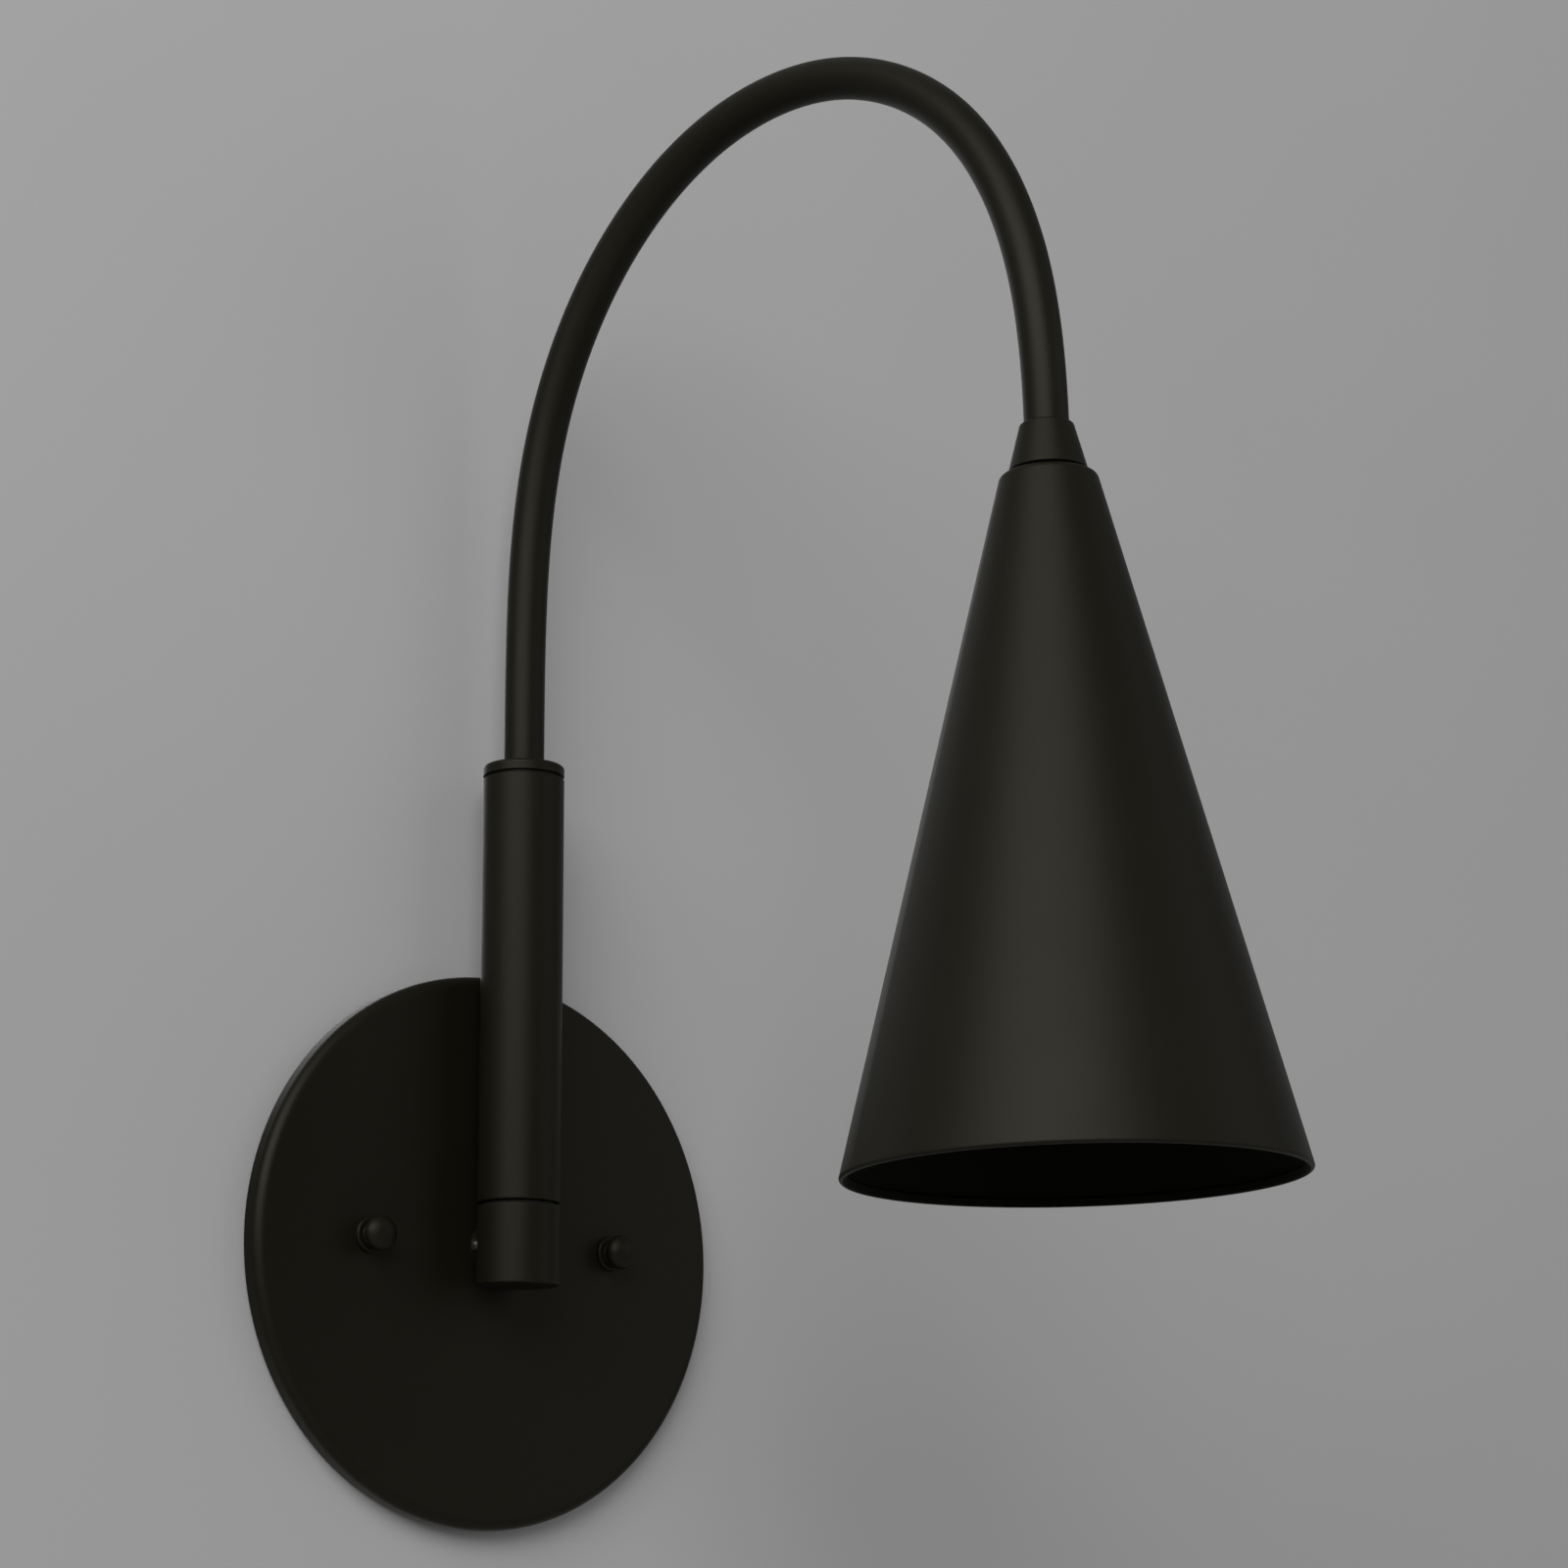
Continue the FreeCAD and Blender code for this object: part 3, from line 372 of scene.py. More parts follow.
def mark_creases(mesh, crease):
    """Smooth faces, with edges sharper than the crease angle, in degrees, kept sharp."""
    bmesh.ops.recalc_face_normals(mesh, faces=mesh.faces)
    if mesh.calc_volume(signed=True) < 0:
        bmesh.ops.reverse_faces(mesh, faces=mesh.faces)
    for face in mesh.faces:
        face.smooth = True
    limit = math.radians(crease)
    for edge in mesh.edges:
        edge.smooth = len(edge.link_faces) == 2 and edge.calc_face_angle(0) < limit


def link_object(name, data):
    piece = bpy.data.objects.new(name, data)
    bpy.context.scene.collection.objects.link(piece)
    return piece


def link_mesh(name, mesh):
    """The mesh as an object of the scene."""
    data = bpy.data.meshes.new(name)
    mesh.to_mesh(data)
    mesh.free()
    return link_object(name, data)


def finish_mesh(name, mesh, crease=CREASE):
    mark_creases(mesh, crease)
    return link_mesh(name, mesh)


def skin(mesh, here, there):
    """Join two closed rows of vertices. A row of one vertex is a point on the axis."""
    count = max(len(here), len(there))
    if count == 1:
        return
    for index in range(count):
        following = (index + 1) % count
        corners = [here[index % len(here)], here[following % len(here)],
                   there[following % len(there)], there[index % len(there)]]
        mesh.faces.new(list(dict.fromkeys(corners)))


def turned(name, outline, *places, segments=None, shape=None, crease=CREASE):
    """A closed solid turned from an outline about the Z of a frame, once for each frame."""
    segments = segments or sizes().small_segments
    angles = np.linspace(0, 2 * math.pi, segments, endpoint=False)
    mesh = bmesh.new()
    for place in places:
        rows = []
        for radius, height in outline:
            if radius < TINY:
                rows.append([mesh.verts.new(place @ Vector((0, 0, height)))])
                continue
            row = []
            for angle in angles:
                reach = shape(radius, height, angle) if shape else radius
                local = Vector((reach * math.cos(angle), reach * math.sin(angle), height))
                row.append(mesh.verts.new(place @ local))
            rows.append(row)
        for here, there in zip(rows, rows[1:] + rows[:1]):
            skin(mesh, here, there)
    return finish_mesh(name, mesh, crease)


def tube_piece(name, points, slopes, side, outer, inner, segments):
    """A tube along the points, hollow if it has an inner radius. The side is a direction square
    to the whole line."""
    mesh = bmesh.new()
    loops = []
    angles = np.linspace(0, 2 * math.pi, segments, endpoint=False)
    for radius in ([outer, inner] if inner else [outer]):
        rows = []
        for point, slope in zip(points, slopes):
            across = slope.cross(side).normalized()
            rows.append([mesh.verts.new(point + (side * math.cos(angle) + across * math.sin(angle))
                                        * radius) for angle in angles])
        loops.append(rows)
    if inner:
        rows = loops[0] + loops[1][::-1]
        rows.append(rows[0])
    else:
        rows = loops[0]
        mesh.faces.new(rows[0])
        mesh.faces.new(rows[-1])
    for here, there in zip(rows, rows[1:]):
        skin(mesh, here, there)
    return finish_mesh(name, mesh)


def block(name, place, across, along, low, high):
    """A box centred on the Z of a frame."""
    mesh = bmesh.new()
    bmesh.ops.create_cube(mesh, size=1.0)
    stretch = Matrix.Diagonal((across, along, high - low, 1))
    bmesh.ops.transform(mesh, matrix=place @ Matrix.Translation((0, 0, (low + high) / 2)) @ stretch,
                        verts=mesh.verts)
    return finish_mesh(name, mesh)


def combine(piece, other, operation="DIFFERENCE"):
    """Cut the other solid out of the piece, or join it on, and use the other up."""
    change = piece.modifiers.new("combine", "BOOLEAN")
    change.operation = operation
    change.object = other
    change.solver = "EXACT"
    evaluated = piece.evaluated_get(bpy.context.evaluated_depsgraph_get())
    result = bpy.data.meshes.new_from_object(evaluated)
    piece.modifiers.clear()
    mesh = bmesh.new()
    mesh.from_mesh(result)
    bmesh.ops.remove_doubles(mesh, verts=mesh.verts, dist=1e-6)
    mark_creases(mesh, CREASE)
    mesh.to_mesh(result)
    mesh.free()
    result.name = piece.name
    piece.data = result
    bpy.data.objects.remove(other)


# ---- the neck's centre line ----------------------------------------------------------------------

def spline_slopes(knots, spans, first, last):
    """Slopes at the knots of the cubic spline whose end slopes are given."""
    count = len(knots)
    matrix = np.eye(count)
    right = np.zeros((count, 3))
    right[0], right[-1] = first, last
    for index in range(1, count - 1):
        before, after = spans[index - 1], spans[index]
        matrix[index, index - 1:index + 2] = 1 / before, 2 / before + 2 / after, 1 / after
        right[index] = 3 * ((knots[index] - knots[index - 1]) / before ** 2
                            + (knots[index + 1] - knots[index]) / after ** 2)
    return np.linalg.solve(matrix, right)


def neck_line(step):
    """Points and slopes along the neck from the stem's plug to the shade's cap, and the place
    among them of the middle of each section."""
    plug_top = span("stem_top_plug", STEM)[1]
    cap_top = span("shade_cap", HEAD)[1]
    knots = [on_stem_axis(plug_top)] + [Vector(joint["pos_m"]) for joint in NECK_JOINTS]
    knots = np.array(knots + [HEAD @ Vector((0, 0, cap_top))])
    spans = np.linalg.norm(np.diff(knots, axis=0), axis=1)
    slopes = spline_slopes(knots, spans, (0, 0, 1), -np.array(HEAD_AXIS))
    points, directions, middles = [], [], []
    for index, reach in enumerate(spans):
        count = 2 * max(2, round(reach / step / 2))
        middles.append(len(points) + count // 2)
        start, end = knots[index], knots[index + 1]
        lead, trail = slopes[index] * reach, slopes[index + 1] * reach
        for part in np.arange(count) / count:
            square, cube = part ** 2, part ** 3
            place = (start * (2 * cube - 3 * square + 1) + lead * (cube - 2 * square + part)
                     + end * (3 * square - 2 * cube) + trail * (cube - square))
            slope = (start * (6 * square - 6 * part) + lead * (3 * square - 4 * part + 1)
                     + end * (6 * part - 6 * square) + trail * (3 * square - 2 * part))
            points.append(Vector(place))
            directions.append(Vector(slope).normalized())
    points.append(Vector(knots[-1]))
    directions.append(-HEAD_AXIS)
    return points, directions, middles


def arm_side():
    """The direction square to the plane that the neck lies in."""
    outward = HEAD_CENTRE - STEM_AXIS
    return Vector((-outward.y, outward.x, 0)).normalized()


def neck_lengths(step, tail_start, tail_end):
    """The neck's line cut at the middle of each section: the points and slopes of each length,
    which bends across one joint. The two end lengths run on to the given places."""
    points, slopes, middles = neck_line(step)
    lengths = []
    last = len(NECK_JOINTS) - 1
    for index in range(len(NECK_JOINTS)):
        here, there = middles[index], middles[index + 1] + 1
        line, slope = points[here:there], slopes[here:there]
        ends = (line[0], line[-1])
        if index == 0:
            line = [tail_start] + points[:there]
            slope = [Vector((0, 0, 1))] + slopes[:there]
        if index == last:
            line = points[here:] + [tail_end]
            slope = slopes[here:] + [-HEAD_AXIS]
        lengths.append((line, slope, ends))
    return lengths


def bend_across(piece):
    """Bake the place of a length of neck or cable into its mesh."""
    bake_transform(piece)


# ---- shader nodes --------------------------------------------------------------------------------

def add_node(tree, kind, links=(), **settings):
    """A shader node with its settings, its inputs set or joined to other nodes' outputs."""
    node = tree.nodes.new("ShaderNode" + kind)
    for label, value in settings.items():
        setattr(node, label, value)
    for socket, source in dict(links).items():
        if hasattr(source, "is_output"):
            tree.links.new(source, node.inputs[socket])
        else:
            node.inputs[socket].default_value = source
    return node


def calculate(tree, operation, first, second, **settings):
    """The result of a sum on two numbers."""
    return add_node(tree, "Math", {0: first, 1: second}, operation=operation, **settings).outputs[0]


def calculate_vector(tree, operation, first, second):
    """The result of a sum on two vectors. It is a number for a dot product."""
    node = add_node(tree, "VectorMath", {0: first, 1: second}, operation=operation)
    return node.outputs["Value" if operation == "DOT_PRODUCT" else "Vector"]


def noise(tree, place, scale, detail=2.0, roughness=0.5):
    """The value of a noise at a place."""
    return add_node(tree, "TexNoise", {"Vector": place, "Scale": scale, "Detail": detail,
                                       "Roughness": roughness}).outputs["Fac"]


def mix_colours(tree, share, first, second):
    """A mix of two colours, each three numbers or another node's output."""
    ends = [each if hasattr(each, "is_output") else (*each, 1) for each in (first, second)]
    return add_node(tree, "Mix", {0: share, 6: ends[0], 7: ends[1]}, data_type="RGBA").outputs[2]


def shader_group(name, inputs, *outputs):
    """A new node group. Its inputs are vectors or numbers, as their defaults are, and its
    outputs are numbers."""
    tree = bpy.data.node_groups.new(name, "ShaderNodeTree")
    for label, default in inputs.items():
        kind = "NodeSocketVector" if isinstance(default, tuple) else "NodeSocketFloat"
        tree.interface.new_socket(label, in_out="INPUT", socket_type=kind).default_value = default
    for label in outputs:
        tree.interface.new_socket(label, in_out="OUTPUT", socket_type="NodeSocketFloat")
    given, result = tree.nodes.new("NodeGroupInput"), tree.nodes.new("NodeGroupOutput")
    return tree, given.outputs, result.inputs


def grain_group():
    """Fine grain for the bump and a soft mottle for colour and gloss."""
    tree, given, result = shader_group(
        "FinishGrain", {"Grain Scale": 2600.0, "Mottle Scale": 40.0}, "Height", "Mottle")
    place = add_node(tree, "TexCoord").outputs["Object"]
    tree.links.new(noise(tree, place, given["Grain Scale"], 3.0, 0.55), result["Height"])
    tree.links.new(noise(tree, place, given["Mottle Scale"], 4.0, 0.6), result["Mottle"])
    return tree


def edge_group():
    """A mask of the piece's sharp edges, broken up as wear is. The lighter tone laid along it is wear, and on the
    black coat it is partly a painted highlight.
    """
    tree, given, result = shader_group("EdgeWear", {"Width": 0.3 * MM}, "Mask")
    bevel = add_node(tree, "Bevel", {"Radius": given["Width"]}, samples=6)
    plain = add_node(tree, "NewGeometry")
    match = calculate_vector(tree, "DOT_PRODUCT", bevel.outputs["Normal"], plain.outputs["Normal"])
    edge = add_node(tree, "MapRange", {"Value": match, "From Min": 0.985, "From Max": 0.8})
    patches = noise(tree, add_node(tree, "TexCoord").outputs["Object"], 260.0, 3.0)
    tree.links.new(calculate(tree, "MULTIPLY", edge.outputs["Result"], patches), result["Mask"])
    return tree


def turning_group():
    """Fine rings left by turning, along an axis."""
    tree, given, result = shader_group(
        "TurningMarks", {"Centre": (0.0, 0.0, 0.0), "Axis": (0.0, 0.0, 1.0), "Pitch": 0.25 * MM},
        "Height")
    place = add_node(tree, "TexCoord").outputs["Object"]
    offset = calculate_vector(tree, "SUBTRACT", place, given["Centre"])
    along = calculate_vector(tree, "DOT_PRODUCT", offset, given["Axis"])
    rings = add_node(tree, "TexNoise", {"W": calculate(tree, "DIVIDE", along, given["Pitch"]),
                                        "Scale": 1.0, "Detail": 2.0}, noise_dimensions="1D")
    tree.links.new(rings.outputs["Fac"], result["Height"])
    return tree


def inward_group():
    """A mask of the faces turned towards an axis, as on the inside of a shade, where painted shade darkens the
    coat.
    """
    tree, given, result = shader_group(
        "InwardFaces", {"Centre": (0.0, 0.0, 0.0), "Axis": (0.0, 0.0, 1.0)}, "Mask")
    place = add_node(tree, "TexCoord").outputs
    offset = calculate_vector(tree, "SUBTRACT", place["Object"], given["Centre"])
    along = calculate_vector(tree, "PROJECT", offset, given["Axis"])
    spoke = calculate_vector(tree, "SUBTRACT", offset, along)
    outward = calculate_vector(tree, "DOT_PRODUCT", spoke, place["Normal"])
    tree.links.new(calculate(tree, "LESS_THAN", outward, 0.0), result["Mask"])
    return tree


GROUP_MAKERS = {"grain": grain_group, "edges": edge_group, "turning": turning_group,
                "inward": inward_group}
GROUPS = {}


def group_outputs(tree, name, **values):
    """The outputs of a shader group, built once and placed with its own values."""
    if name not in GROUPS:
        GROUPS[name] = GROUP_MAKERS[name]()
    node = tree.nodes.new("ShaderNodeGroup")
    node.node_tree = GROUPS[name]
    for label, value in values.items():
        node.inputs[label.replace("_", " ").title()].default_value = value
    return node.outputs


# ---- finishes ------------------------------------------------------------------------------------

# What a finish has where its own row says nothing. Grain and mottle are scales of noise. Bump,
# edge and turning are in millimetres. The shares multiply the two tones.
PLAIN = {"worn": None, "shares": (1, 1), "metallic": 0.0, "roughness": 0.5, "spread": 0.08,
         "specular": 0.5, "tint": (1.0, 1.0, 1.0), "subsurface": 0.0, "grain": 2600.0,
         "mottle": 40.0, "bump": 0.01, "edge": 0.25, "turning": None, "matt_and_painted_shade_inside": False}
COAT_GLOSS = {"roughness": 0.48, "spread": 0.02, "specular": 0.12, "tint": (1.0, 0.96, 0.82)}
COAT = dict(COAT_GLOSS, tones=("coat", "coat_light"), worn="coat_wear_and_highlight", grain=2400.0, mottle=55.0,
            edge=0.3)
CORE = {"shares": (1, 1.2), "roughness": 0.45, "bump": 0.004}
LOOKS = {
    "powder_coat": COAT,
    # The shade's coat, with painted shade on its inside.
    "shade_coat": dict(COAT, matt_and_painted_shade_inside=True),
    "neck_sleeve": dict(COAT_GLOSS, tones=("coat", "coat_light"), grain=2800.0, mottle=70.0,
                        bump=0.008),
    "black_fibre": dict(tones=("fibre", "fibre_light"), roughness=0.75, specular=0.2,
                        grain=1800.0, mottle=600.0, bump=0.03),
    "zinc_plate": dict(tones=("zinc", "zinc_light"), worn="zinc_light", metallic=1.0,
                       roughness=0.36, spread=0.09, grain=1500.0, mottle=320.0, bump=0.008,
                       edge=0.2),
    "screw_steel": dict(tones=("screw", "screw"), shares=(0.7, 1), metallic=1.0, roughness=0.4,
                        spread=0.05, grain=3000.0, mottle=500.0, bump=0.003),
    "earth_green": dict(tones=("earth", "earth_light"), worn="earth_light", metallic=0.7,
                        roughness=0.35, grain=1800.0, edge=0.2),
    "turned_brass": dict(tones=("brass_dull", "brass"), worn="brass", metallic=1.0, roughness=0.3,
                         grain=2000.0, mottle=260.0, bump=0.004, edge=0.15, turning=0.25),
    "black_moulding": dict(tones=("moulding", "moulding_light"), worn="moulding_light",
                           roughness=0.32, spread=0.05, specular=0.4, grain=900.0, mottle=90.0),
    "nickel": dict(tones=("nickel_dull", "nickel"), metallic=1.0, roughness=0.28, grain=1800.0,
                   mottle=300.0, bump=0.006),
    "vitrite": dict(tones=("vitrite", "moulding_light"), roughness=0.12, spread=0.04, grain=800.0,
                    mottle=400.0, bump=0.004),
    "opal_glass": dict(tones=("opal_shade", "opal"), roughness=0.24, spread=0.03, grain=700.0,
                       mottle=30.0, bump=0.004, subsurface=0.12),
    "cable_sheath": dict(tones=("sheath", "fibre_light"), spread=0.06, specular=0.3,
                         grain=1500.0, mottle=200.0),
    "copper": dict(tones=("copper", "copper"), shares=(0.8, 1), metallic=1.0, roughness=0.35,
                   bump=0.006),
    "insulation_live": dict(CORE, tones=("core_brown", "core_brown")),
    "insulation_neutral": dict(CORE, tones=("core_blue", "core_blue")),
}
# Painted shade on the shade's inside: the faces turned to its axis take this share of the coat's dark tone, and a
# rough matt gloss.
PAINTED_SHADE_INSIDE_SHARE = 0.3
INSIDE_ROUGHNESS = 0.95
FINISHES = {}


def finish(name):
    """The finish of a name in the table, made once. Two mottled tones are lighter along the edges, as wear and on
    the black coat partly as a painted highlight, under fine grain or turning marks. With a matt inside, what faces
    the shade's axis is rough and darkened with painted shade."""
    if name in FINISHES:
        return FINISHES[name]
    look = {**PLAIN, **LOOKS[name]}
    dark, light = ([part * share for part in getattr(colours(), tone)]
                   for tone, share in zip(look["tones"], look["shares"]))
    material = bpy.data.materials.new(name)
    material.use_nodes = True
    tree = material.node_tree
    shader = tree.nodes["Principled BSDF"].inputs
    shader["Metallic"].default_value = look["metallic"]
    shader["Specular IOR Level"].default_value = look["specular"]
    shader["Specular Tint"].default_value = (*look["tint"], 1)
    shader["Subsurface Weight"].default_value = look["subsurface"]
    grain = group_outputs(tree, "grain", grain_scale=look["grain"], mottle_scale=look["mottle"])
    tone = mix_colours(tree, grain["Mottle"], dark, light)
    # Lighter tone along the sharp edges: wear, and on the black coat partly a painted highlight.
    if look["worn"]:
        edges = group_outputs(tree, "edges", width=look["edge"] * MM)
        tone = mix_colours(tree, edges["Mask"], tone, getattr(colours(), look["worn"]))
    gloss = add_node(tree, "MapRange", {
        "Value": grain["Mottle"], "From Min": 0.25, "From Max": 0.75,
        "To Min": look["roughness"] - look["spread"],
        "To Max": look["roughness"] + look["spread"]}).outputs["Result"]
    # Painted shade: what faces the shade's axis is darkened to a share of the dark tone, and made rough and matt.
    if look["matt_and_painted_shade_inside"]:
        inward = group_outputs(tree, "inward", centre=HEAD_CENTRE, axis=HEAD_AXIS)["Mask"]
        tone = mix_colours(tree, inward, tone, [part * PAINTED_SHADE_INSIDE_SHARE for part in dark])
        gloss = add_node(tree, "Mix", {0: inward, 2: gloss, 3: INSIDE_ROUGHNESS}).outputs[0]
    height = grain["Height"]
    if look["turning"]:
        marks = group_outputs(tree, "turning", centre=HEAD_CENTRE, axis=HEAD_AXIS,
                              pitch=look["turning"] * MM)
        height = calculate(tree, "ADD", height, marks["Height"])
    raised = add_node(tree, "Bump", {"Strength": 1.0, "Distance": look["bump"] * MM,
                                     "Height": height})
    tree.links.new(tone, shader["Base Color"])
    tree.links.new(gloss, shader["Roughness"])
    tree.links.new(raised.outputs["Normal"], shader["Normal"])
    FINISHES[name] = material
    return material


# ---- setting pieces on the frame -----------------------------------------------------------------

def paint(piece, look):
    """Give a piece, or a carried-over node, one finish on all its material slots."""
    slots = piece.data.materials
    if len(slots) == 0:
        slots.append(finish(look))
    for index in range(len(slots)):
        slots[index] = finish(look)


def dress(look, *nodes):
    """Give nodes of the frame that stay as they are a finish."""
    for node in nodes:
        paint(frame["nodes"][node], look)


def go_with(piece, look, node, body=None):
    """Finish a piece and set it on the body of a node, or another, and in its material slot."""
    paint(piece, look)
    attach(piece, body or BODY_OF[node])


def stand_for(piece, look, node):
    """As go_with, and the piece is shown instead of the node."""
    go_with(piece, look, node)
    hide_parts(node)


def make(name, corners, place, look, node, **how):
    """Turn a piece from its rounded corners, and show it instead of the node."""
    stand_for(turned(name, rounded(corners), place, **how), look, node)


def turned_ring(node, place, inner, rounding, look):
    """A washer, bush or ferrule in place of its node, which gives its outside and its ends."""
    low, high, radius = span(node, place)
    ring = turned(node + "_ring", ring_outline(inner, radius, low, high, rounding), place)
    stand_for(ring, look, node)


def hex_nut(node, places, flats, bore, look="zinc_plate"):
    """A chamfered hexagon nut, once for each frame, in place of its node."""
    low, high, _ = span(node, places[0])
    nut = turned(node + "_hex", nut_outline(bore, flats / 2, low, high), *places,
                 shape=hexagon(flats / 2))
    stand_for(nut, look, node)


def threaded_pipe(node, place, look="zinc_plate"):
    """A hollow tube with a thread from end to end, in place of its node."""
    low, high, radius = span(node, place)
    pitch = sizes().pipe_pitch
    outline = thread_outline(radius, low, high, pitch, sizes().pipe_bore / 2)
    pipe = turned(node + "_threaded", outline, place, crease=THREAD_CREASE,
                  shape=thread(radius, pitch, pitch * THREAD_DEPTH))
    stand_for(pipe, look, node)


def stud_places():
    """The frames of the two studs, whose Z stands out from the wall."""
    low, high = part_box("mounting_studs")
    reach = high.x - sizes().stud_diameter / 2
    height = (low.z + high.z) / 2
    return [frame_at(Vector((way * reach, 0, height)), OUT) for way in (1, -1)]


# ---- operators: one for each piece or group of like pieces ---------------------------------------

class Step:
    """What the operators share: each one builds its pieces from the sizes."""

    def execute(self, context):
        self.build(sizes())
        return {"FINISHED"}


class SCONCE_OT_wall_plate(Step, bpy.types.Operator):
    """The pressed wall plate with its three holes"""
    bl_idname = "sconce.wall_plate"
    bl_label = "Wall Plate"

    def build(self, size):
        low, high, radius = span("backplate", WALL)
        inner, inside = radius - size.plate_wall, high - size.plate_wall
        lip, clearance = size.plate_wall / 3, 4 * size.fit
        plate = turned("wall_plate", rounded(
            [(0, inside, 0), (inner, inside, size.plate_edge - size.plate_wall),
             (inner, low, lip), (radius, low, lip), (radius, high, size.plate_edge),
             (0, high, 0)]), WALL, segments=size.round_segments)
        studs = [(place, size.stud_diameter / 2) for place in stud_places()]
        for place, hole in [(WALL, size.pipe_diameter / 2)] + studs:
            hole_outline = ring_outline(0, hole + clearance, -high, 2 * high, 0)
            combine(plate, turned("hole", hole_outline, place))
        stand_for(plate, "powder_coat", "backplate")


class SCONCE_OT_cap_nuts(Step, bpy.types.Operator):
    """The two round-headed nuts that hold the plate"""
    bl_idname = "sconce.cap_nuts"
    bl_label = "Cap Nuts"

    def build(self, size):
        low = span("cap_nuts", WALL)[0]
        flange, flange_top = size.cap_flange / 2, low + size.cap_flange_height
        waist, head, half = size.cap_waist / 2, size.cap_head / 2, size.cap_head_height / 2
        bore, bore_end = size.stud_diameter / 2, span("mounting_studs", WALL)[1] + size.fit
        top = low + size.cap_head_reach
        waist_turn = math.asin(-math.sqrt(1 - (waist / head) ** 2))
        dome = [Vector((head * math.cos(turn), top - half + half * math.sin(turn)))
                for turn in np.linspace(waist_turn, math.pi / 2, 20)[:-1]]
        foot = rounded([(bore, low, 0), (flange, low, 0.1 * MM), (flange, flange_top, 0.45 * MM),
                        (waist, flange_top, 0.25 * MM), (*dome[0], 0)])
        outline = foot[:-1] + dome + [Vector((0, top)), Vector((0, bore_end)),
                                      Vector((bore, bore_end))]
        stand_for(turned("plate_cap_nuts", outline, *stud_places()), "powder_coat", "cap_nuts")


class SCONCE_OT_collar(Step, bpy.types.Operator):
    """The hollow collar with its boss and its set screw"""
    bl_idname = "sconce.collar"
    bl_label = "Collar"

    def build(self, size):
        low, high, _ = span("collar", STEM)
        radius = span("stem_sleeve", STEM)[2]
        cavity, pipe, edge = size.collar_cavity / 2, size.pipe_diameter / 2, size.edge_round
        floor, roof = low + size.collar_floor, high - size.collar_roof
        drum = turned("stem_collar", rounded(
            [(0, low, 0), (radius, low, edge), (radius, high, edge), (pipe, high, 0),
             (pipe, roof, 0), (cavity, roof, edge), (cavity, floor, edge), (0, floor, 0)]),
            STEM, segments=size.round_segments)
        plate_front, inner_wall = span("backplate", WALL)[1], -STEM_AXIS.y - cavity
        boss = ring_outline(0, size.collar_boss / 2, plate_front, inner_wall, 0)
        combine(drum, turned("boss", boss, WALL), "UNION")
        combine(drum, turned("entry", ring_outline(0, pipe, 0, inner_wall + cavity / 2, 0), WALL))
        self.set_screw(size, drum)
        stand_for(drum, "powder_coat", "collar")

    def set_screw(self, size, drum):
        """A threaded screw with a chamfered end and a six-sided socket, and its hole."""
        low, high, radius = span("collar_set_screw", SCREW)
        hole = ring_outline(0, radius + size.fit, low - radius, high + radius, 0)
        combine(drum, turned("hole", hole, SCREW))
        pitch, chamfer = 0.5 * MM, 0.25 * MM
        flat = size.socket_flats / 2
        corner = flat / math.cos(math.pi / 6)
        floor = high - (high - low) / 2
        shank = thread_outline(radius, low, high, pitch, 0)[1:-2]
        outline = [(0, low)] + shank + [(radius, high - chamfer), (radius - chamfer, high),
                                        (corner, high), (corner, floor), (0, floor)]
        socket, cut_thread = hexagon(flat, within=corner + TINY), thread(radius, pitch, pitch / 2)

        def shape(radius, height, angle):
            if height > high - chamfer - TINY:
                return socket(radius, height, angle)
            return cut_thread(socket(radius, height, angle), height, angle)

        screw = turned("set_screw", outline, SCREW, shape=shape, crease=45.0)
        stand_for(screw, "screw_steel", "collar_set_screw")


class SCONCE_OT_stem(Step, bpy.types.Operator):
    """The upright sleeve, its grooved top plug and the line of washer under it"""
    bl_idname = "sconce.stem"
    bl_label = "Stem"

    def build(self, size):
        low, high, radius = span("stem_sleeve", STEM)
        bore, edge = radius - size.sleeve_wall, size.edge_round
        make("upright_sleeve", [(bore, low, edge / 2), (radius, low, edge),
                                (radius, high, edge / 2), (bore, high, 0)],
             STEM, "powder_coat", "stem_sleeve", segments=size.round_segments)
        plug_low, plug_high, _ = span("stem_top_plug", STEM)
        entry = size.neck_diameter / 2 + size.fit
        ferrule = size.neck_diameter / 2 + size.ferrule_wall
        groove, disc = radius - size.plug_groove_depth, high + size.plug_groove
        make("top_plug", [(entry, plug_high, 0.25 * MM), (entry, high, 0), (ferrule, high, 0),
                          (ferrule, plug_low, 0), (bore, plug_low, 0.2 * MM), (bore, high, 0),
                          (groove, high, 0), (groove, disc, 0.1 * MM), (radius, disc, 0.15 * MM),
                          (radius, plug_high, size.plug_edge)],
             STEM, "powder_coat", "stem_top_plug", segments=size.round_segments)
        turned_ring("friction_washer", STEM, size.pipe_diameter / 2, 0.1 * MM, "black_fibre")


class SCONCE_OT_neck(Step, bpy.types.Operator):
    """The smooth flexible neck, in seven pieces that each span one joint"""
    bl_idname = "sconce.neck"
    bl_label = "Flexible Neck"

    def build(self, size):
        tail_start = on_stem_axis(span("neck_lower_ferrule", STEM)[0])
        tail_end = HEAD @ Vector((0, 0, span("neck_section_8", HEAD)[0]))
        lengths = neck_lengths(size.neck_step, tail_start, tail_end)
        for index, (line, slope, ends) in enumerate(lengths):
            piece = tube_piece("neck_sleeve_%d" % (index + 1), line, slope, arm_side(),
                               size.neck_diameter / 2, size.neck_bore / 2, 56)
            paint(piece, "neck_sleeve")
            bend_across(piece)
            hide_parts("neck_section_%d" % (index + 1))
        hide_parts("neck_section_%d" % (len(lengths) + 1))


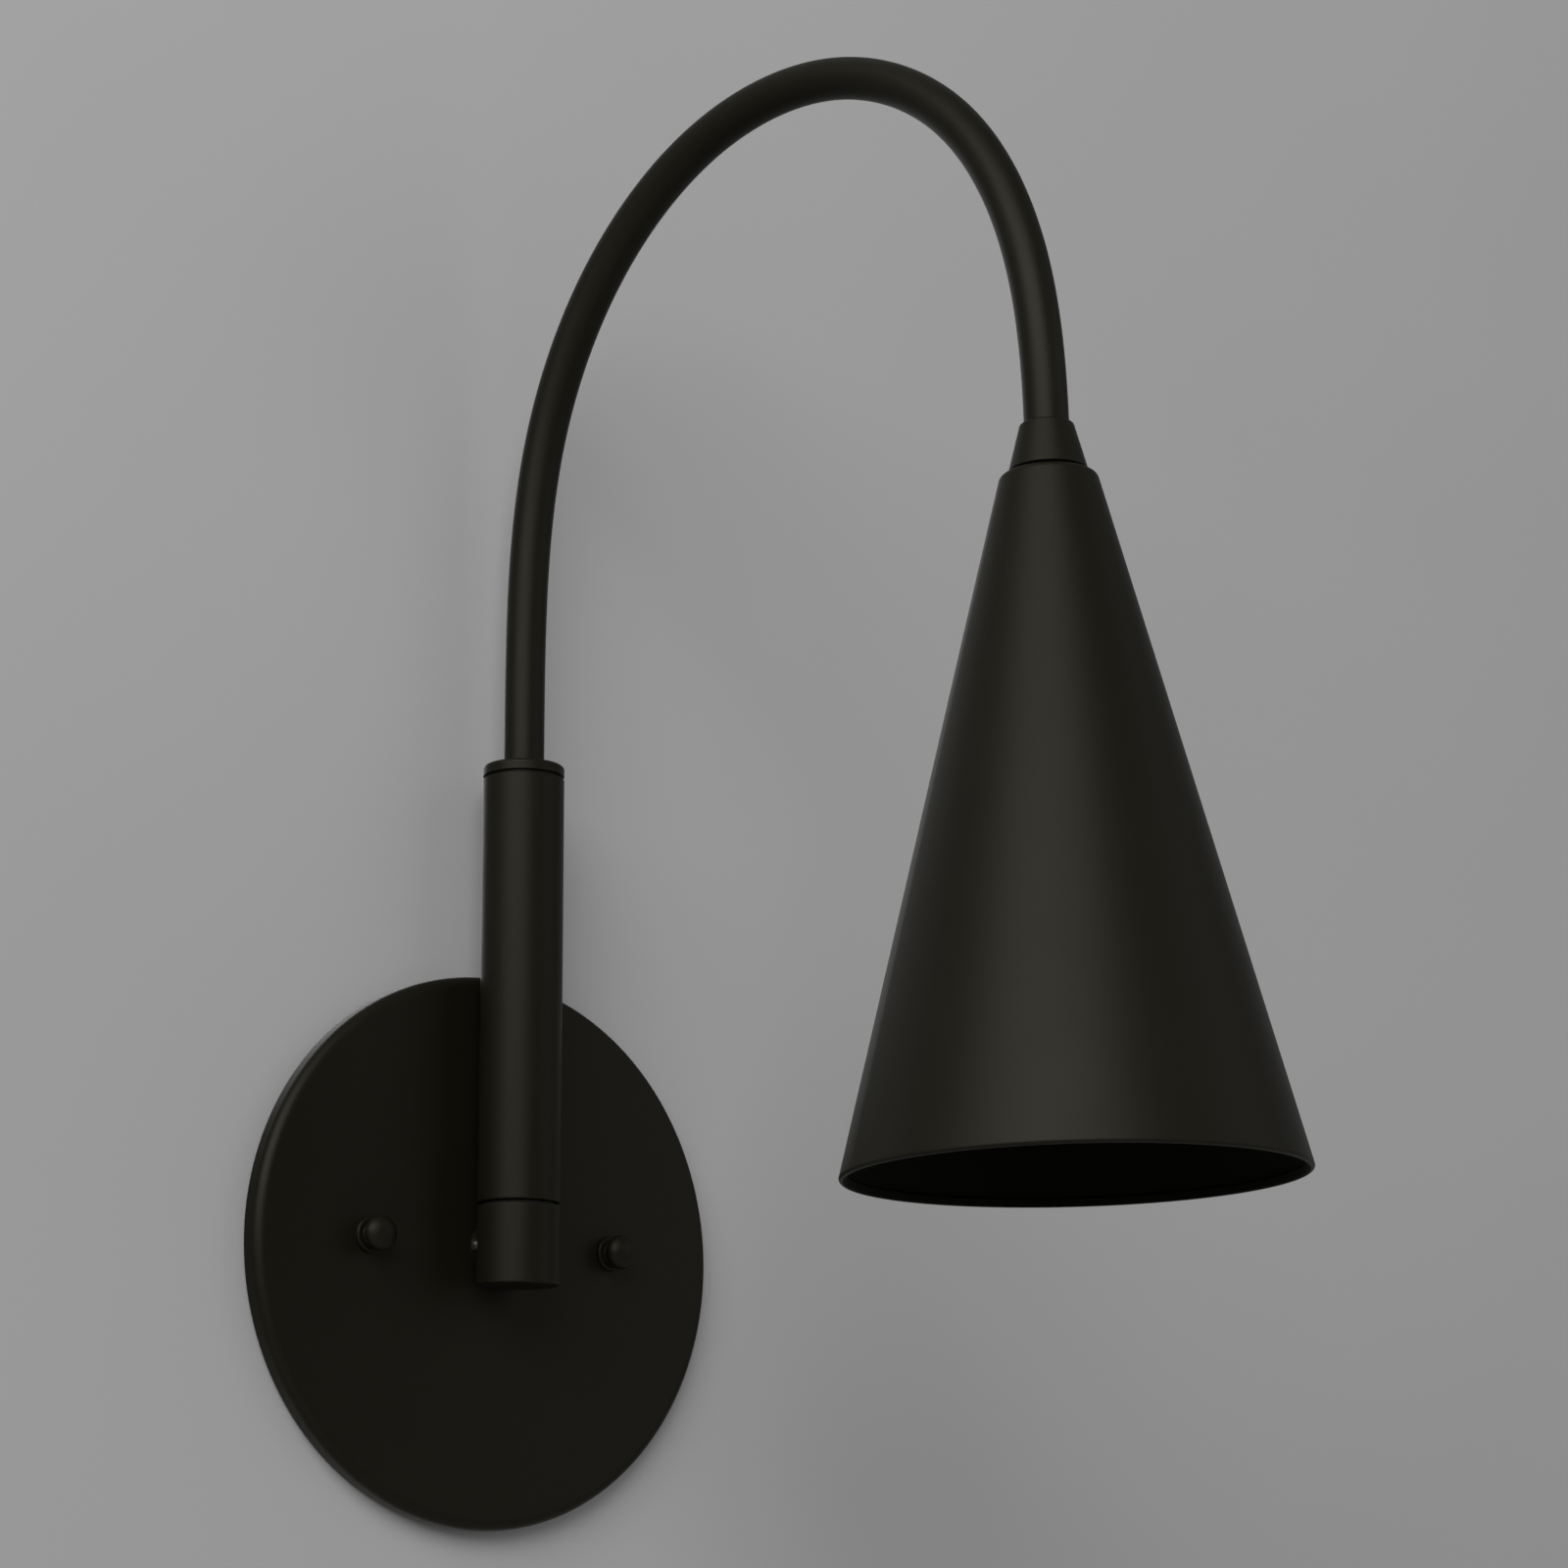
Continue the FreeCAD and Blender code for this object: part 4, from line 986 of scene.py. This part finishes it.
class SCONCE_OT_neck_ferrules(Step, bpy.types.Operator):
    """The brass rings that hold the neck at both of its ends"""
    bl_idname = "sconce.neck_ferrules"
    bl_label = "Neck Ferrules"

    def build(self, size):
        neck, pipe = size.neck_diameter / 2, size.pipe_diameter / 2
        turned_ring("neck_lower_ferrule", STEM, neck, 0.2 * MM, "turned_brass")
        turned_ring("neck_lock_ring", STEM, neck + size.ferrule_wall, 0.2 * MM, "turned_brass")
        low, high, radius = span("neck_upper_ferrule", HEAD)
        seat = high - size.grip_seat
        make("upper_ferrule", [(neck, high, 0), (neck, seat, 0), (pipe, seat, 0), (pipe, low, 0),
                               (radius, low, 0.2 * MM), (radius, high, 0.3 * MM)],
             HEAD, "turned_brass", "neck_upper_ferrule")


class SCONCE_OT_swivel(Step, bpy.types.Operator):
    """Tube, bush, wave washer and nut of the stem's swivel"""
    bl_idname = "sconce.swivel"
    bl_label = "Swivel"

    def build(self, size):
        pipe = size.pipe_diameter / 2
        threaded_pipe("pivot_tube", STEM)
        turned_ring("swivel_bush", STEM, pipe + size.fit, 0.25 * MM, "turned_brass")
        hex_nut("pivot_nut", [STEM], size.pivot_nut_flats, pipe)
        self.wave_washer(pipe)

    def wave_washer(self, pipe):
        """A thin spring washer that rises and falls three times round its ring."""
        low, high, radius = span("wave_washer", STEM)
        thickness, waves = 0.3 * MM, 3
        middle, swing = (low + high) / 2, (high - low - thickness) / 2
        washer = turned("spring_washer", ring_outline(
            pipe + 0.2 * MM, radius, middle - thickness / 2, middle + thickness / 2, 0), STEM)
        for vertex in washer.data.vertices:
            local = vertex.co - STEM_AXIS
            vertex.co.z += swing * math.cos(waves * math.atan2(local.y, local.x))
        stand_for(washer, "zinc_plate", "wave_washer")


class SCONCE_OT_wall_hardware(Step, bpy.types.Operator):
    """Crossbar, studs, nuts, entry tube and earth screw behind the plate"""
    bl_idname = "sconce.wall_hardware"
    bl_label = "Wall Hardware"

    def build(self, size):
        dress("zinc_plate", "crossbar", "star_washer")
        places = stud_places()
        low, high, _ = span("mounting_studs", WALL)
        radius, pitch = size.stud_diameter / 2, size.stud_pitch
        studs = turned("threaded_studs", thread_outline(radius, low, high, pitch, 0), *places,
                       segments=48, shape=thread(radius, pitch, pitch * THREAD_DEPTH),
                       crease=THREAD_CREASE)
        stand_for(studs, "zinc_plate", "mounting_studs")
        hex_nut("stud_lock_nuts", places, size.stud_nut_flats, radius)
        threaded_pipe("entry_nipple", WALL)
        hex_nut("nipple_nut", [WALL], size.pipe_nut_flats, size.pipe_diameter / 2)
        self.earth_screw(size)

    def earth_screw(self, size):
        """A pan-headed screw with a driver slot."""
        place = frame_at(centre_of("earth_screw") * Vector((1, 0, 1)), OUT)
        low, high, radius = span("earth_screw", place)
        bar, shank = span("crossbar", WALL)[1], size.earth_shank / 2
        screw = turned("earth_pan_screw", rounded(
            [(0, low, 0), (shank, low, 0.3 * MM), (shank, bar, 0), (radius, bar, 0.2 * MM),
             (radius, high, 0.9 * MM), (0, high, 0)]), place)
        slot_floor = high - (high - bar) / 2
        combine(screw, block("slot", place, 2 * radius + MM, size.earth_slot, slot_floor,
                             high + MM))
        stand_for(screw, "earth_green", "earth_screw")


class SCONCE_OT_lamp_cable(Step, bpy.types.Operator):
    """The cable held inside, from the wall box up the stem and round to the lamp holder"""
    bl_idname = "sconce.lamp_cable"
    bl_label = "Lamp Cable"

    def build(self, size):
        radius = size.cable_diameter / 2
        start = on_stem_axis(span("friction_washer", STEM)[0])
        holder_top = span("lamp_holder", HEAD)[1]
        end = HEAD @ Vector((0, 0, holder_top - size.holder_floor / 2))
        self.entry(size, radius, start)
        for index, (line, slope, ends) in enumerate(neck_lengths(2 * MM, start, end)):
            piece = tube_piece("lamp_cable_%d" % (index + 1), line, slope, arm_side(), radius, 0,
                               24)
            paint(piece, "cable_sheath")
            bend_across(piece)

    def entry(self, size, radius, top):
        """From the nipple behind the plate, through the collar and round into the stem. It stays with the wall."""
        bend = size.cable_bend
        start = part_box("lamp_cable")[1].y
        corner = Vector((STEM_AXIS.x, STEM_AXIS.y + bend, bend))
        points, slopes = [Vector((0, start, 0))], [OUT]
        for angle in np.linspace(0, math.pi / 2, 13):
            points.append(corner + Vector((0, -math.sin(angle), -math.cos(angle))) * bend)
            slopes.append(Vector((0, -math.cos(angle), math.sin(angle))))
        points.append(top)
        slopes.append(Vector((0, 0, 1)))
        piece = tube_piece("lamp_cable_entry", points, slopes, Vector((1, 0, 0)), radius, 0, 32)
        go_with(piece, "cable_sheath", "lamp_cable", FIXED)
        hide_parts("lamp_cable")
        self.core(size, "live", -1, start)
        self.core(size, "neutral", 1, start)

    def core(self, size, label, way, start):
        """One insulated core and its copper, just past the end of the sheath."""
        place = frame_at(Vector((way * size.core_diameter * 0.56, start, 0)), -OUT)
        inset = -0.5 * MM
        for kind, width, reach, look in (
                ("core_", size.core_diameter, 0.9 * MM, "insulation_" + label),
                ("conductor_", size.conductor_diameter, 1.25 * MM, "copper")):
            wire = turned(kind + label, ring_outline(0, width / 2, inset, reach, 0.1 * MM), place,
                          segments=32)
            go_with(wire, look, "lamp_cable", FIXED)


class SCONCE_OT_shade(Step, bpy.types.Operator):
    """The cone shade with its rolled rim, its cap and the fibre washer between them"""
    bl_idname = "sconce.shade"
    bl_label = "Shade and Cap"

    def build(self, size):
        low, high, rim = span("shade", HEAD)
        pipe, top, wall = size.pipe_diameter / 2, size.shade_top / 2, size.shade_wall
        bead, bead_top = size.shade_bead, low + size.shade_bead_height
        slope = (rim - top) / (high - low)
        at_bead = rim - slope * size.shade_bead_height
        lip = (wall + bead) * 0.42
        make("cone_shade", [
            (pipe, high, 0), (top, high, size.shade_shoulder), (rim, low, lip),
            (rim - wall - bead, low, lip), (at_bead - wall - bead, bead_top, bead * 0.6),
            (at_bead - wall, bead_top + bead, 0), (top + slope * wall - wall, high - wall, wall),
            (pipe, high - wall, 0)], HEAD, "shade_coat", "shade", segments=size.round_segments)
        low, high, foot = span("shade_cap", HEAD)
        entry = size.neck_diameter / 2 + size.fit
        make("neck_cap", [
            (entry, high, 0.15 * MM), (entry, high - size.cap_wall, 0),
            (foot - size.cap_wall, low, 0), (foot, low, 0.2 * MM),
            (size.cap_top / 2, high, size.cap_edge)], HEAD, "powder_coat", "shade_cap",
            segments=size.round_segments)
        turned_ring("shade_washer", HEAD, pipe, 0.1 * MM, "black_fibre")
        threaded_pipe("shade_nipple", HEAD)
        hex_nut("shade_lock_nut", [HEAD], size.pipe_nut_flats, pipe)


class SCONCE_OT_lamp_holder(Step, bpy.types.Operator):
    """Moulded holder with its cap, grip ribs, rolled screw shell and contact"""
    bl_idname = "sconce.lamp_holder"
    bl_label = "Lamp Holder"

    def build(self, size):
        low, high, radius = span("holder_cap", HEAD)
        pipe, taper = size.pipe_diameter / 2, high - size.holder_taper
        inner = radius - size.holder_wall
        make("holder_dome", [
            (pipe, high, 0), (size.holder_neck / 2, high, 0.6 * MM), (radius, taper, 2 * MM),
            (radius, low, 0.3 * MM), (inner, low, 0), (inner, taper, MM),
            (pipe, high - size.holder_floor, 0)], HEAD, "black_moulding", "holder_cap",
            segments=96)
        self.body(size, radius)
        self.screw_shell(size)
        dress("turned_brass", "centre_contact")

    def body(self, size, radius):
        """The moulded body, whose grip ribs stop short of both of its ends."""
        low, high, _ = span("lamp_holder", HEAD)
        shell = span("screw_shell", HEAD)[2]
        hole, floor = size.cable_diameter / 2 + size.fit, high - size.holder_floor
        plain_end, lead = 5 * MM, 0.05 * MM
        rib_low, rib_high = low + plain_end, high - plain_end
        side = [(radius, height, 0) for height in (rib_low - lead, rib_low, rib_high,
                                                   rib_high + lead)]
        make("holder_body", [(hole, floor, 0), (shell, floor, 0), (shell, low, 0.5 * MM),
                             (radius, low, 0.9 * MM)] + side
             + [(radius, high, 0.3 * MM), (hole, high, 0)], HEAD, "black_moulding", "lamp_holder",
             segments=240, shape=ribs(30, size.grip_rib, radius - TINY, rib_low, rib_high),
             crease=50.0)

    def screw_shell(self, size):
        """Thin brass sheet rolled to the candelabra thread."""
        low, high, radius = span("screw_shell", HEAD)
        sheet = 0.25 * MM
        rows = thread_rows(low, high, size.lamp_pitch)
        outline = [(radius, height) for height in rows]
        outline += [(radius - sheet, height) for height in rows[::-1]]
        shell = turned("threaded_shell", outline, HEAD, crease=THREAD_CREASE, shape=rolled_thread(
            size.lamp_pitch, size.lamp_thread / 2, 0, low, high))
        stand_for(shell, "turned_brass", "screw_shell")


class SCONCE_OT_bulb(Step, bpy.types.Operator):
    """Opal candle bulb with its threaded base, insulator and end contact"""
    bl_idname = "sconce.bulb"
    bl_label = "Bulb"

    def build(self, size):
        low, tip_top, base = span("bulb_base", HEAD)
        tip, shoulder = size.bulb_tip / 2, tip_top - 3.6 * MM
        outline = [(0, low)] + [(base, height)
                                for height in thread_rows(low, shoulder, size.lamp_pitch)]
        outline += [(base - 0.9 * MM, shoulder + 0.5 * MM), (0, shoulder + 0.5 * MM)]
        metal = turned("bulb_screw", outline, HEAD, crease=THREAD_CREASE, shape=rolled_thread(
            size.lamp_pitch, size.lamp_thread, base - 0.5 * MM, low + MM, shoulder))
        stand_for(metal, "nickel", "bulb_base")
        wide, glass_top = base - 1.1 * MM, tip_top - 1.1 * MM
        glass = turned("bulb_insulator", rounded(
            [(0, shoulder, 0), (wide, shoulder, 0), (wide, shoulder + MM, 0.3 * MM),
             (tip, glass_top, 0.2 * MM), (0, glass_top, 0)]), HEAD)
        go_with(glass, "vitrite", "bulb_base")
        contact_low = tip_top - 1.5 * MM
        contact = turned("bulb_contact", rounded(
            [(0, contact_low, 0), (tip, contact_low, 0.1 * MM),
             (tip, tip_top - 0.4 * MM, 0.3 * MM), (tip / 2, tip_top, 0.6 * MM),
             (0, tip_top, 0)]), HEAD)
        go_with(contact, "turned_brass", "bulb_base")
        self.envelope(size, base)

    def envelope(self, size, base):
        """An olive of blown glass whose neck widens from the base, with a wall of its own."""
        low, high, widest = span("bulb_envelope", HEAD)
        flare = size.bulb_flare
        half = (high - low - flare / 2) / 2
        middle = low + half

        def radius_at(height, inset):
            oval = (widest - inset) * math.sqrt(
                max(0.0, 1 - ((height - middle) / (half - inset)) ** 2))
            throat = base - inset + (high - height) / 4
            share = min(1.0, max(0.0, (high - height) / flare))
            share = share * share * (3 - 2 * share)
            return throat * (1 - share) + oval * share

        outline = []
        for inset in (0.0, size.bulb_glass):
            foot = low + inset
            heights = [foot + (high - foot) * (1 - math.cos(turn))
                       for turn in np.linspace(0, math.pi / 2, 44)]
            loop = [(0, foot)] + [(radius_at(height, inset), height) for height in heights[1:]]
            outline += loop if inset == 0 else loop[::-1]
        glass = turned("candle_bulb", outline, HEAD, segments=96)
        stand_for(glass, "opal_glass", "bulb_envelope")


# Each lamp's place, width, height and power. They all point at the same spot by the sconce.
LAMPS = {"key_lamp": ((-1.60, -1.14, 1.20), 2.7, 1.5, 72.0),
         "fill_lamp": ((1.32, -1.88, 0.7), 2.2, 1.8, 8.5),
         "back_lamp": ((0.45, 1.6, 0.9), 1.2, 1.2, 10.0)}
LAMP_AIM = Vector((0, -0.08, 0.05))
HARDWARE_DEPTH = 15 * MM


def seen_rays(tree, rays):
    """One for rays from the camera, gloss or glass, and nought for light that only bounces."""
    seen = calculate(tree, "ADD", rays["Is Camera Ray"], rays["Is Glossy Ray"], use_clamp=True)
    return calculate(tree, "ADD", seen, rays["Is Transmission Ray"], use_clamp=True)


class SCONCE_OT_stage(bpy.types.Operator):
    """Pale floor, wall, soft studio lamps and the camera"""
    bl_idname = "sconce.stage"
    bl_label = "Stage"

    def execute(self, context):
        place = context.scene.sconce_stage
        context.scene.view_settings.view_transform = "Standard"
        self.add_camera(context, place)
        wall = self.panel("stage_wall", place.wall_width, colours().wall,
                          frame_at(Vector((0, place.wall_gap, 0)), OUT))
        floor = self.panel("stage_floor", place.floor_width, colours().floor,
                           frame_at(Vector((0, 0, -place.floor_drop)), Vector((0, 0, 1))))
        self.add_world(context, place)
        for name, lamp in LAMPS.items():
            self.add_lamp(name, *lamp)
        return {"FINISHED"}

    def add_camera(self, context, place):
        data = bpy.data.cameras.new("camera")
        data.lens = place.lens
        data.sensor_width = 36.0
        data.clip_start = 0.01
        camera = link_object("camera", data)
        turn = (Matrix.Rotation(-place.camera_yaw, 4, "Z")
                @ Matrix.Rotation(math.pi / 2 + place.camera_pitch, 4, "X")
                @ Matrix.Rotation(place.camera_roll, 4, "Z"))
        camera.matrix_world = Matrix.Translation(place.camera_place) @ turn
        context.scene.camera = camera

    def panel(self, name, width, shade, place):
        """A square sheet that shows from its front only, so it hides nothing seen from behind."""
        half = width / 2
        mesh = bmesh.new()
        corners = ((-half, -half), (half, -half), (half, half), (-half, half))
        mesh.faces.new([mesh.verts.new(place @ Vector((x, y, 0))) for x, y in corners])
        piece = link_mesh(name, mesh)
        piece.data.materials.append(self.panel_paint(name, shade))
        return piece

    def panel_paint(self, name, shade):
        """Matt paint. The sheet is clear from behind, for light that only bounces, and for rays
        too short to come from beyond the gap, so it neither darkens nor mirrors the hardware."""
        material = bpy.data.materials.new(name)
        material.use_nodes = True
        tree = material.node_tree
        shader = tree.nodes["Principled BSDF"]
        shader.inputs["Roughness"].default_value = 0.9
        shader.inputs["Specular IOR Level"].default_value = 0.1
        mottle = noise(tree, add_node(tree, "TexCoord").outputs["Object"], 6.0)
        dark, light = ([part * share for part in shade] for share in (0.97, 1.03))
        tree.links.new(mix_colours(tree, mottle, dark, light), shader.inputs["Base Color"])
        rays = add_node(tree, "LightPath").outputs
        behind = add_node(tree, "NewGeometry").outputs["Backfacing"]
        front = calculate(tree, "SUBTRACT", seen_rays(tree, rays), behind, use_clamp=True)
        away = calculate(tree, "GREATER_THAN", rays["Ray Length"], HARDWARE_DEPTH)
        shown = calculate(tree, "MULTIPLY", front, away)
        both = add_node(tree, "MixShader", {
            0: shown, 1: add_node(tree, "BsdfTransparent").outputs[0], 2: shader.outputs[0]})
        tree.links.new(both.outputs[0], tree.nodes["Material Output"].inputs["Surface"])
        return material

    def add_world(self, context, place):
        """Even light, and a plain grey where the camera, gloss or glass looks past the wall."""
        world = bpy.data.worlds.new("studio")
        context.scene.world = world
        world.use_nodes = True
        tree = world.node_tree
        light = tree.nodes["Background"]
        light.inputs["Color"].default_value = (1, 1, 1, 1)
        seen = seen_rays(tree, add_node(tree, "LightPath").outputs)
        strength = add_node(tree, "MapRange", {"Value": seen, "To Min": place.world_light,
                                               "To Max": place.background})
        tree.links.new(strength.outputs["Result"], light.inputs["Strength"])

    def add_lamp(self, name, place, width, height, power):
        data = bpy.data.lights.new(name, "AREA")
        data.shape = "RECTANGLE"
        data.size, data.size_y, data.energy = width, height, power
        lamp = link_object(name, data)
        lamp.location = place
        lamp.rotation_euler = (LAMP_AIM - Vector(place)).to_track_quat("-Z", "Y").to_euler()


class SCONCE_PT_panel(bpy.types.Panel):
    """Lists the steps that dress the sconce"""
    bl_idname = "SCONCE_PT_panel"
    bl_label = "Gooseneck Wall Sconce"
    bl_space_type = "VIEW_3D"
    bl_region_type = "UI"
    bl_category = "Sconce"

    def draw(self, context):
        for step in STEPS:
            self.layout.operator(step.bl_idname)


STEPS = (SCONCE_OT_wall_plate, SCONCE_OT_cap_nuts, SCONCE_OT_collar, SCONCE_OT_stem,
         SCONCE_OT_neck, SCONCE_OT_neck_ferrules, SCONCE_OT_swivel, SCONCE_OT_wall_hardware,
         SCONCE_OT_lamp_cable, SCONCE_OT_shade, SCONCE_OT_lamp_holder, SCONCE_OT_bulb,
         SCONCE_OT_stage)
CLASSES = (SconceSizes, SconceColours, SconceStage) + STEPS + (SCONCE_PT_panel,)


def register():
    for each in CLASSES:
        bpy.utils.register_class(each)
    bpy.types.Scene.sconce_sizes = PointerProperty(type=SconceSizes)
    bpy.types.Scene.sconce_colours = PointerProperty(type=SconceColours)
    bpy.types.Scene.sconce_stage = PointerProperty(type=SconceStage)


def unregister():
    del bpy.types.Scene.sconce_stage
    del bpy.types.Scene.sconce_colours
    del bpy.types.Scene.sconce_sizes
    for each in reversed(CLASSES):
        bpy.utils.unregister_class(each)


def main():
    register()
    for step in STEPS:
        family, name = step.bl_idname.split(".")
        getattr(getattr(bpy.ops, family), name)()


if __name__ == "__main__":
    main()
